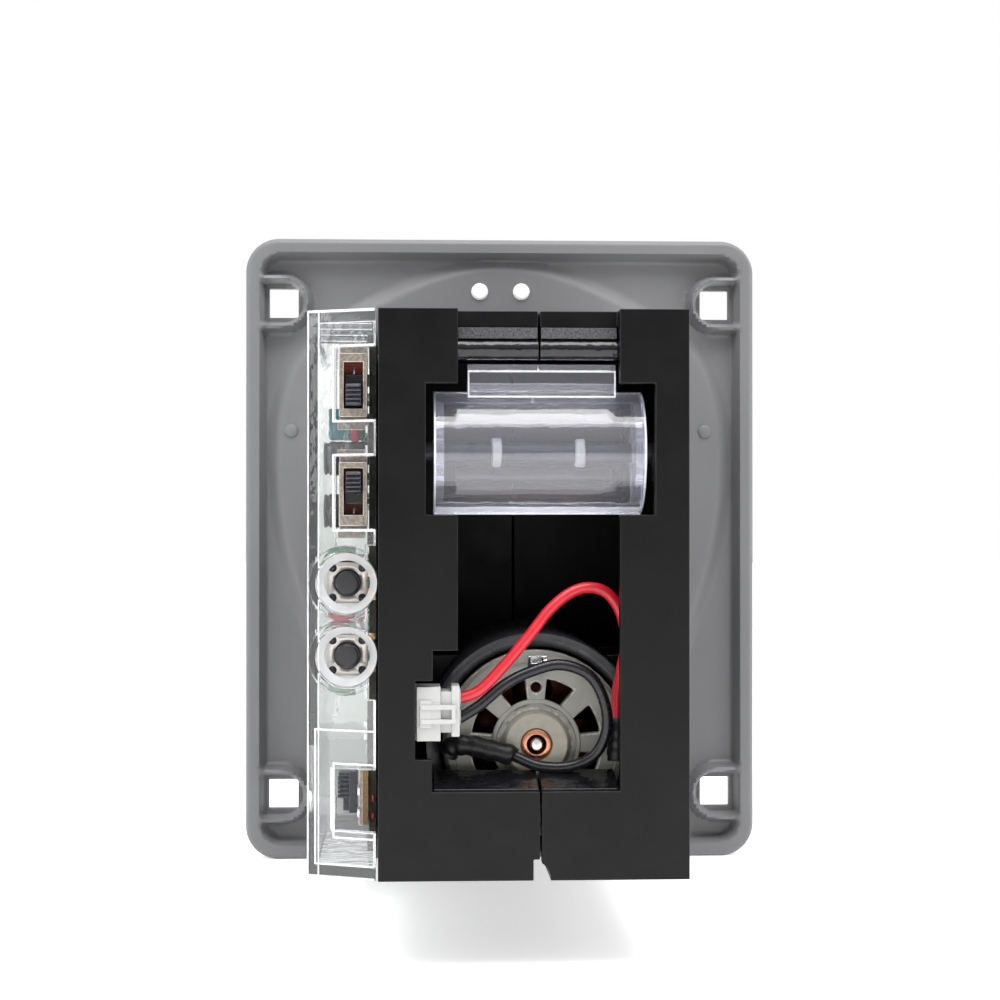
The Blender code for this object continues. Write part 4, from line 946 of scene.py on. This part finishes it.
def make_hood():
    form = Shape().prism(half_ring(9, 7.5, 90, 270, 56, 56), "X", (HOOD_END_LEFT, HOOD_END_RIGHT), 0.12)
    for low, high in ((-14.38, -12.92), (14.72, 16.18)):
        form.prism(half_ring(7.45, 3.25, 88, 272, 48, 24), "X", (low, high), 0.1)
        collar = [(1.72, low), (3.1, low), (3.2, low + 0.1), (3.2, high - 0.1), (3.1, high), (1.72, high)]
        form.turned((0, *HOOD_AXIS), collar, "X", 48)
    tab = [
        (3.4, 82.4), (3.4, 86.3), (4.2, 87.2), (6.2, 87.2),
        (6.2, 84.5), (8.0, 83.4), (8.0, 82.6), (6.0, 82.0),
    ]
    form.prism(tab, "X", (-9.5, 12.0), 0.12)
    # The hood's finish carries a faint glow that paints the softbox's reflection.
    form.done("hood_moulding", HOOD_CLEAR, "clear_plastic", "hood", ("clear_hood",))
    refined("spindle", DARK_STEEL, 0.15)
    # Thin strips at the hood's ends and round its tab, in the whitish finish, paint the bright edges of
    # the clear hood.
    for number, x in ((1, HOOD_END_LEFT), (2, 15.9)):
        Shape().prism(half_ring(9.02, 8.5, 90, 268, 40, 40), "X", (x, x + 0.3), 0.05, 1).done(
            f"hood_edge_highlight_{number}", PAINTED_EDGE_HIGHLIGHT, "clear_plastic", "hood"
        )
    edge_lines = Shape().boxes(
        ((-14.3, 16.1), (7.9, 9.3), (65.45, 65.75), 0.08),
        ((-9.45, 11.95), (3.25, 3.6), (82.4, 82.65), 0.08),
        ((-9.45, 11.95), (3.25, 3.6), (86.05, 86.3), 0.08),
    )
    for x in (-9.5, 11.75):
        edge_lines.box((x, x + 0.25), (3.25, 3.6), (82.4, 86.3), 0.08)
    edge_lines.done("hood_highlight_lines", PAINTED_EDGE_HIGHLIGHT, "clear_plastic", "hood")
    for word, x, body in (("left", -5.1, "left_idler"), ("right", 7.2, "right_idler")):
        low, high = x - 0.75, x + 0.75
        wheel = [(1.7, low), (1.9, low), (2.15, low + 0.2), (2.15, high - 0.2), (1.9, high), (1.7, high)]
        Shape().turned((0, *HOOD_AXIS), wheel, "X", 40).done(
            f"idler_wheel_{word}", WHITE, "white_nylon", body, (f"spindle_roller_{word}",)
        )
    rods = Shape()
    for depth, z, radius in ((14.6, 71.2, 1.1), (16.5, 79.4, 0.8)):
        rods.rod((-10.9, depth, z), (12.2, depth, z), radius)
    rods.done("cross_rods", DARK_STEEL, "dark_steel")


# ---------------------------------------------------------------- switches and buttons

SWITCHES = ((79.5, 89.1), (63.8, 73.4))
RIDGES, UPRIGHT_PITCH, SIDE_PITCH = 5, 0.62, 0.65
SQUARENESS = 9


def holed_plate(at, half, hole, depths, steps=48):
    """A square plate with soft corners and a round hole, facing the rear."""
    shape = Shape()
    x, z = at
    loops = []
    for depth, grow in ((depths[0] + 0.08, 0.0), (depths[0], -0.1), (depths[1], -0.1)):
        outer, inner = [], []
        for i in range(steps):
            angle = 2 * math.pi * (i + 0.5) / steps
            c, s = math.cos(angle), math.sin(angle)
            spread = (abs(c) ** SQUARENESS + abs(s) ** SQUARENESS) ** (1 / SQUARENESS)
            for loop, reach in ((outer, (half + grow) / spread), (inner, hole - grow)):
                loop.append(shape.form.verts.new((x + reach * c, depth, z + reach * s)))
        loops.append((outer, inner))
    (edge_out, edge_in), (top_out, top_in), (low_out, low_in) = loops
    section = (top_in, top_out, edge_out, low_out, low_in, edge_in, top_in)
    faces = []
    for near, far in zip(section, section[1:]):
        faces += shape.belt(near, far)
    bmesh.ops.recalc_face_normals(shape.form, faces=faces)
    return shape


def make_rear_switches():
    for number, (low, high) in enumerate(SWITCHES, 1):
        upper = number == 1
        window = (low + 1.2, high - 1.7) if upper else (low + 1.6, high - 1.3)
        left, right, top = -28.05, -24.0, high - 0.4
        Shape().boxes(
            ((left, -27.35), (2.5, 3.0), (low, top), 0.12),
            ((-24.6, right), (2.5, 3.0), (low, top), 0.12),
            ((-27.6, -24.3), (2.5, 3.0), (low, window[0]), 0.12),
            ((-27.6, -24.3), (2.5, 3.0), (window[1], top), 0.12),
            ((left, -27.7), (2.7, 8.4), (low, top), 0.1),
            ((-24.3, right), (2.7, 8.4), (low, top), 0.1),
            ((left, right), (2.7, 6.0), (low, low + 0.35), 0.1),
            ((left, right), (2.7, 6.0), (high - 0.75, top), 0.1),
            ((left, right), (5.6, 6.0), (high - 0.5, high + 1.5), 0.12),
            ((left, right), (5.6, 6.0), (low - 1.8, low + 0.2), 0.12),
        ).done(f"switch_can_{number}", FRAME_STEEL, "steel", replaces=(f"switch_frame_{number}",))
        Shape().box((-27.6, -24.35), (7.2, 8.3), (low + 0.5, high - 0.9), 0.1).done(
            f"switch_wafer_{number}", PHENOLIC, "bell_plastic"
        )
        contact_z = high - 2.7 if upper else low + 2.0
        Shape().box((-26.1, -25.85), (7.1, 7.3), (contact_z - 0.6, contact_z + 0.6), 0.04).done(
            f"switch_contact_{number}", SOLDER, "steel"
        )
        bottom = low + 1.6 if upper else high - 6.4
        grip = (bottom, bottom + 3.1) if upper else (bottom + 1.5, bottom + 4.6)
        knob = Shape().box((-27.2, -24.7), (4.4, 7.0), (bottom, bottom + 4.6))
        outline = [(5.0, grip[0]), (1.15, grip[0])]
        for k in range(RIDGES):
            level = grip[0] + 0.08 + UPRIGHT_PITCH * k
            outline += [(0.62, level + 0.1), (0.62, level + 0.26)]
            outline += [(1.05, level + 0.44), (1.05, level + 0.52)]
        outline += [(1.15, grip[1]), (5.0, grip[1])]
        knob.prism(outline, "X", (-27.0, -24.9), 0.04, 1)
        knob.done(
            f"ribbed_knob_{number}", KNOB, "black_parts", f"switch_{number}", (f"switch_knob_{number}",)
        )


def make_side_switch():
    Shape().boxes(
        ((-25.2, -24.6), (6.5, 13.0), (20.2, 28.7), 0.1),
        ((-25.35, -25.1), (6.9, 12.6), (20.4, 21.4), 0.08),
    ).done("side_switch_can", FRAME_STEEL, "steel", replaces=("switch_frame_3",))
    Shape().box((-24.65, -23.85), (6.6, 12.9), (20.3, 28.5), 0.08).done(
        "side_switch_wafer", BOARD_EDGE, "circuit_board"
    )
    tips = Shape()
    for z in (22.2, 25.4):
        tips.box((-25.45, -25.05), (6.3, 6.9), (z - 0.8, z + 0.8), 0.1)
    tips.done("side_switch_tips", SOLDER, "steel")
    knob = Shape().boxes(
        ((-26.7, -25.5), (7.2, 12.2), (21.9, 28.0), 0.15),
        ((-27.6, -25.9), (8.2, 11.2), (22.1, 24.2), 0.2),
        ((-28.1, -26.0), (8.1, 11.3), (23.9, 27.6), 0.2),
    )
    for k in range(RIDGES):
        level = 24.05 + SIDE_PITCH * k
        knob.box((-28.35, -26.0), (7.75, 11.65), (level, level + 0.36), 0.1)
    knob.box((-28.25, -26.0), (7.75, 11.65), (27.15, 27.8), 0.2)
    knob.done("ribbed_knob_3", KNOB, "black_parts", "switch_3", ("switch_knob_3",))


BUTTON_X, BUTTONS = -26.96, (55.45, 44.84)
CASE_HALF, RIVET_AT = 2.9, 2.19


def make_buttons():
    dome = [(0.01, 8.28), (0.35, 8.32), (0.55, 8.45), (0.62, 8.62), (0.62, 8.9), (0.01, 8.9)]
    hole = [(1.85, 8.6), (1.98, 8.6), (1.98, 9.2), (1.85, 9.2)]
    cap = [(0.01, 6.62), (1.3, 6.6), (1.48, 6.62), (1.65, 6.75), (1.74, 6.98), (1.75, 10.9), (0.01, 10.9)]
    well = [(3.3, 7.3), (3.45, 7.1), (4.35, 6.2), (4.45, 6.6), (4.4, 8.6), (3.35, 8.6)]
    for number, z in enumerate(BUTTONS, 1):
        x_span, z_span = ((at - CASE_HALF, at + CASE_HALF) for at in (BUTTON_X, z))
        Shape().box(x_span, (9.2, 12.6), z_span, 0.2).done(f"tact_body_{number}", CHIP, "dark_steel")
        holed_plate((BUTTON_X, z), 3.0, 1.98, (8.75, 9.3)).done(
            f"tact_plate_{number}", TACT_STEEL, "dark_steel", replaces=(f"button_case_{number}",)
        )
        rivets = Shape()
        for side_x in (-RIVET_AT, RIVET_AT):
            for side_z in (-RIVET_AT, RIVET_AT):
                rivets.turned((BUTTON_X + side_x, 0, z + side_z), dome, steps=24)
        rivets.turned((BUTTON_X, 0, z), hole, steps=48)
        rivets.done(f"tact_rivets_{number}", KNOB, "black_parts")
        Shape().turned((BUTTON_X, 0, z), cap).done(
            f"plunger_cap_{number}", PLUNGER, "black_parts", f"button_{number}",
            (f"button_plunger_{number}",),
        )
        Shape().turned((BUTTON_X, 0, z), well).done(f"well_ring_{number}", FROSTED, "clear_plastic")
    pads = Shape()
    for z_low, z_high in ((52.9, 54.7), (47.1, 48.1), (42.4, 43.5), (56.3, 57.2)):
        pads.box((-23.95, -22.75), (8.0, 9.4), (z_low, z_high))
    pads.done("edge_pads", GOLD, "steel")
    # A dark strip before the board's edge paints the shade in the gap between the cover and the housing.
    Shape().box((-23.75, -22.72), (8.3, 8.58), (16.3, 91.7), 0.08).done(
        "painted_gap_shade", GAP_SHADE, "circuit_board"
    )


# ---------------------------------------------------------------- board and its parts


BOARD_X = -23.85
CHIP_DEPTHS, CHIP_LEGS, LEG_PITCH = (40.6, 53.4), 16, 0.83
SMALL_PARTS = 120


def make_capacitors():
    sleeve = [
        (0.01, -24.2), (2.45, -24.2), (2.5, -24.6), (2.5, -29.4), (2.28, -29.6), (2.28, -29.8),
        (2.48, -30.0), (2.4, -30.25), (2.0, -30.32), (1.95, -30.2), (0.01, -30.2),
    ]
    top = [(0.01, -30.2), (1.9, -30.2), (1.9, -30.28), (0.01, -30.3)]
    for number, z in ((1, 73.8), (2, 66.0)):
        Shape().turned((0, 14.0, z), sleeve, "X", 40).done(
            f"capacitor_can_{number}", CHIP, "black_parts", replaces=(f"capacitor_{number}",)
        )
        Shape().turned((0, 14.0, z), top, "X", 40).done(f"capacitor_top_{number}", SOLDER, "steel")


def make_chip():
    chip = Shape().box((-25.5, -24.2), CHIP_DEPTHS, (45.0, 59.0))
    chip.turned((-25.52, 42.2, 57.6), [(0.01, 0), (0.5, 0), (0.5, 0.1), (0.01, 0.1)], "X", 24)
    chip.done("chip_body", CHIP, "black_parts", replaces=("controller_chip",))
    legs = Shape()
    bends = (((-24.95, -24.8), 0.0, 0.7), ((-24.95, -23.95), 0.6, 0.75), ((-24.0, BOARD_X), 0.6, 1.4))
    for k in range(CHIP_LEGS):
        z = 45.8 + LEG_PITCH * k
        for depth, out in zip(CHIP_DEPTHS, (-1, 1)):
            for x, start, end in bends:
                span = sorted((depth + out * start, depth + out * end))
                legs.box(x, span, (z - 0.2, z + 0.2), 0.03, 1)
    legs.done("chip_legs", SOLDER, "steel")


def make_host_socket():
    refined("host_socket", WHITE, 0.2)
    pins = Shape()
    for row in range(2):
        for k in range(8):
            depth, z = 57.9 + 2.6 * k, 21.0 + 3.9 * row
            pins.box((-30.6, -24.2), (depth - 0.3, depth + 0.3), (z - 0.3, z + 0.3), 0.1)
    pins.done("host_pins", GOLD, "steel")


def make_small_parts():
    """Small parts scattered over the free places of the board, and a row of larger ones."""
    small, ends, black_parts = Shape(), Shape(), Shape()
    taken = [(8, 20, 60, 92), (38, 56, 43, 61), (53, 81, 16, 31), (8, 15, 40, 60), (6, 15, 18, 31)]
    for _ in range(SMALL_PARTS):
        depth, z = RANDOM.uniform(10.5, 87.5), RANDOM.uniform(18.0, 90.0)
        depth, z = round(depth / 2.2) * 2.2, round(z / 1.9) * 1.9
        if any(a < depth < b and c < z < d for a, b, c, d in taken):
            continue
        taken.append((depth - 1.6, depth + 1.6, z - 1.2, z + 1.2))
        shape = small if RANDOM.random() < 0.6 else black_parts
        shape.box((-24.35, BOARD_X), (depth - 0.55, depth + 0.55), (z - 0.4, z + 0.4), 0.06, 1)
        for side in (-1, 1):
            span = sorted((depth + side * 0.5, depth + side * 0.85))
            ends.box((-24.37, BOARD_X), span, (z - 0.42, z + 0.42), 0.06, 1)
    for k in range(7):
        z = 68.0 + 3.1 * k
        black_parts.box((-24.9, BOARD_X), (30.0, 33.0), (z - 0.9, z + 0.9), 0.1)
        for side in (-0.6, 0.6):
            ends.box((-24.1, BOARD_X), (29.2, 33.8), (z + side - 0.2, z + side + 0.2), 0.04, 1)
    small.done("small_capacitors", CERAMIC, "bell_plastic")
    black_parts.done("small_resistors", CHIP, "black_parts")
    ends.done("part_terminals", SOLDER, "steel")


def make_other_parts():
    crystal = Shape().box((-26.0, -24.3), (60.0, 64.0), (48.0, 58.5), 1.6, 4)
    crystal.done("crystal_can", STEEL, "steel")
    Shape().box((-29.6, -24.3), (13.0, 19.0), (76.6, 81.2), 0.3).done("relay_block", TEAL, "bell_plastic")
    Shape().box((-26.3, -25.1), (12.0, 14.5), (76.2, 78.8), 0.25).done("red_part_1", PINK, "red_pvc")
    bits = Shape()
    for depth, z in ((10.6, 50.3), (11.5, 58.9)):
        bits.rod((-28.6, depth, z), (-24.6, depth, z), 0.8, 0.25, 24)
    for z in (23.9, 21.4):
        bits.rod((-23.4, 8.0, z), (-23.0, 8.0, z), 0.55, 0.1, 20)
    bits.done("red_parts", PINK, "red_pvc")
    joints = Shape()
    for k in range(14):
        joints.ball((-24.0, 86.5, 22.0 + 4.2 * k), 0.7, (0.7, 1, 1))
        joints.ball((-22.55, 12.0 + 5.0 * k, 88.6), 0.55, (0.5, 1, 1))
    joints.done("solder_joints", SOLDER, "steel")


# ---------------------------------------------------------------- clear cover


COVER_EDGE, COVER_START, COVER_SLANT = -22.7, 0.3, 0.47
LINE_RISE, LINE_ROOT, LINE_WIDTH = 0.25, 0.5, 0.28


def cover_depth(x):
    """The depth of the cover's slanted rear face."""
    return COVER_START + (COVER_EDGE - x) * COVER_SLANT


def slanted_bar(shape, x, z):
    """A raised line on the cover's rear face."""
    low, high = x
    outline = [
        (low, cover_depth(low) - LINE_RISE), (high, cover_depth(high) - LINE_RISE),
        (high, cover_depth(high) + LINE_ROOT), (low, cover_depth(low) + LINE_ROOT),
    ]
    shape.prism(outline, "Z", z, 0.1)


def make_cover():
    refined("clear_cover", CLEAR, 0.15)
    ribs = Shape()
    for k in range(4):
        z = 90.3 + 0.85 * k
        ribs.box((-30.6, -23.0), (6.2, 60.0), (z, z + 0.5), 0.16)
    ribs.done("cover_ribs", CLEAR, "clear_plastic")
    # Raised lines in the whitish finish: they paint the bright outlines of the clear cover's walls and
    # frames.
    lines = Shape()
    for x in (-32.65, -31.1):
        slanted_bar(lines, (x, x + 0.22), (13.3, 94.8))
    slanted_bar(lines, (-32.6, -22.9), (13.2, 13.5))
    slanted_bar(lines, (-32.6, -22.9), (94.6, 94.9))
    frames = (((-31.6, -23.0), (15.0, 34.6)), ((-28.9, -23.0), (18.9, 29.8)))
    for (x_low, x_high), (z_low, z_high) in frames:
        slanted_bar(lines, (x_low, x_low + LINE_WIDTH), (z_low, z_high))
        slanted_bar(lines, (x_low, x_high), (z_low, z_low + LINE_WIDTH))
        slanted_bar(lines, (x_low, x_high), (z_high - LINE_WIDTH, z_high))
    for low, high in SWITCHES:
        slanted_bar(lines, (-29.0, -28.75), (low - 0.6, high + 0.6))
        slanted_bar(lines, (-29.0, -23.0), (low - 0.8, low - 0.5))
        slanted_bar(lines, (-29.0, -23.0), (high + 0.5, high + 0.8))
    lines.done("cover_highlight_lines", PAINTED_EDGE_HIGHLIGHT, "clear_plastic")
    # A pale block inside the cover paints the reflection of the white backdrop in its clear walls.
    Shape().box((-30.8, -24.3), (86.6, 92.0), (15.0, 93.0), 0.3).done("painted_reflection_block", PAINTED_REFLECTION_PANEL, "white_nylon")


# ---------------------------------------------------------------- the object

FINISH_OF = {
    "grey_plastic": GREY, "black_plastic": DARK_GUIDE, "clear_plastic": CLEAR, "white_nylon": WHITE,
    "bell_plastic": BELL, "steel": STEEL, "dark_steel": DARK_STEEL, "bronze": COPPER, "rubber": RUBBER,
    "red_pvc": RED, "black_pvc": BLACK_PVC, "circuit_board": BOARD, "black_parts": KNOB,
}

make_camera()
make_stage()
for node, thing in frame["nodes"].items():
    thing.data.materials.clear()
    thing.data.materials.append(FINISH_OF[SLOT_OF[node]])
make_bezel()
make_housing()
make_door_details()
make_motor()
make_leads()
make_plug()
make_hood()
make_rear_switches()
make_side_switch()
make_buttons()
make_capacitors()
make_chip()
make_host_socket()
make_small_parts()
make_other_parts()
make_cover()
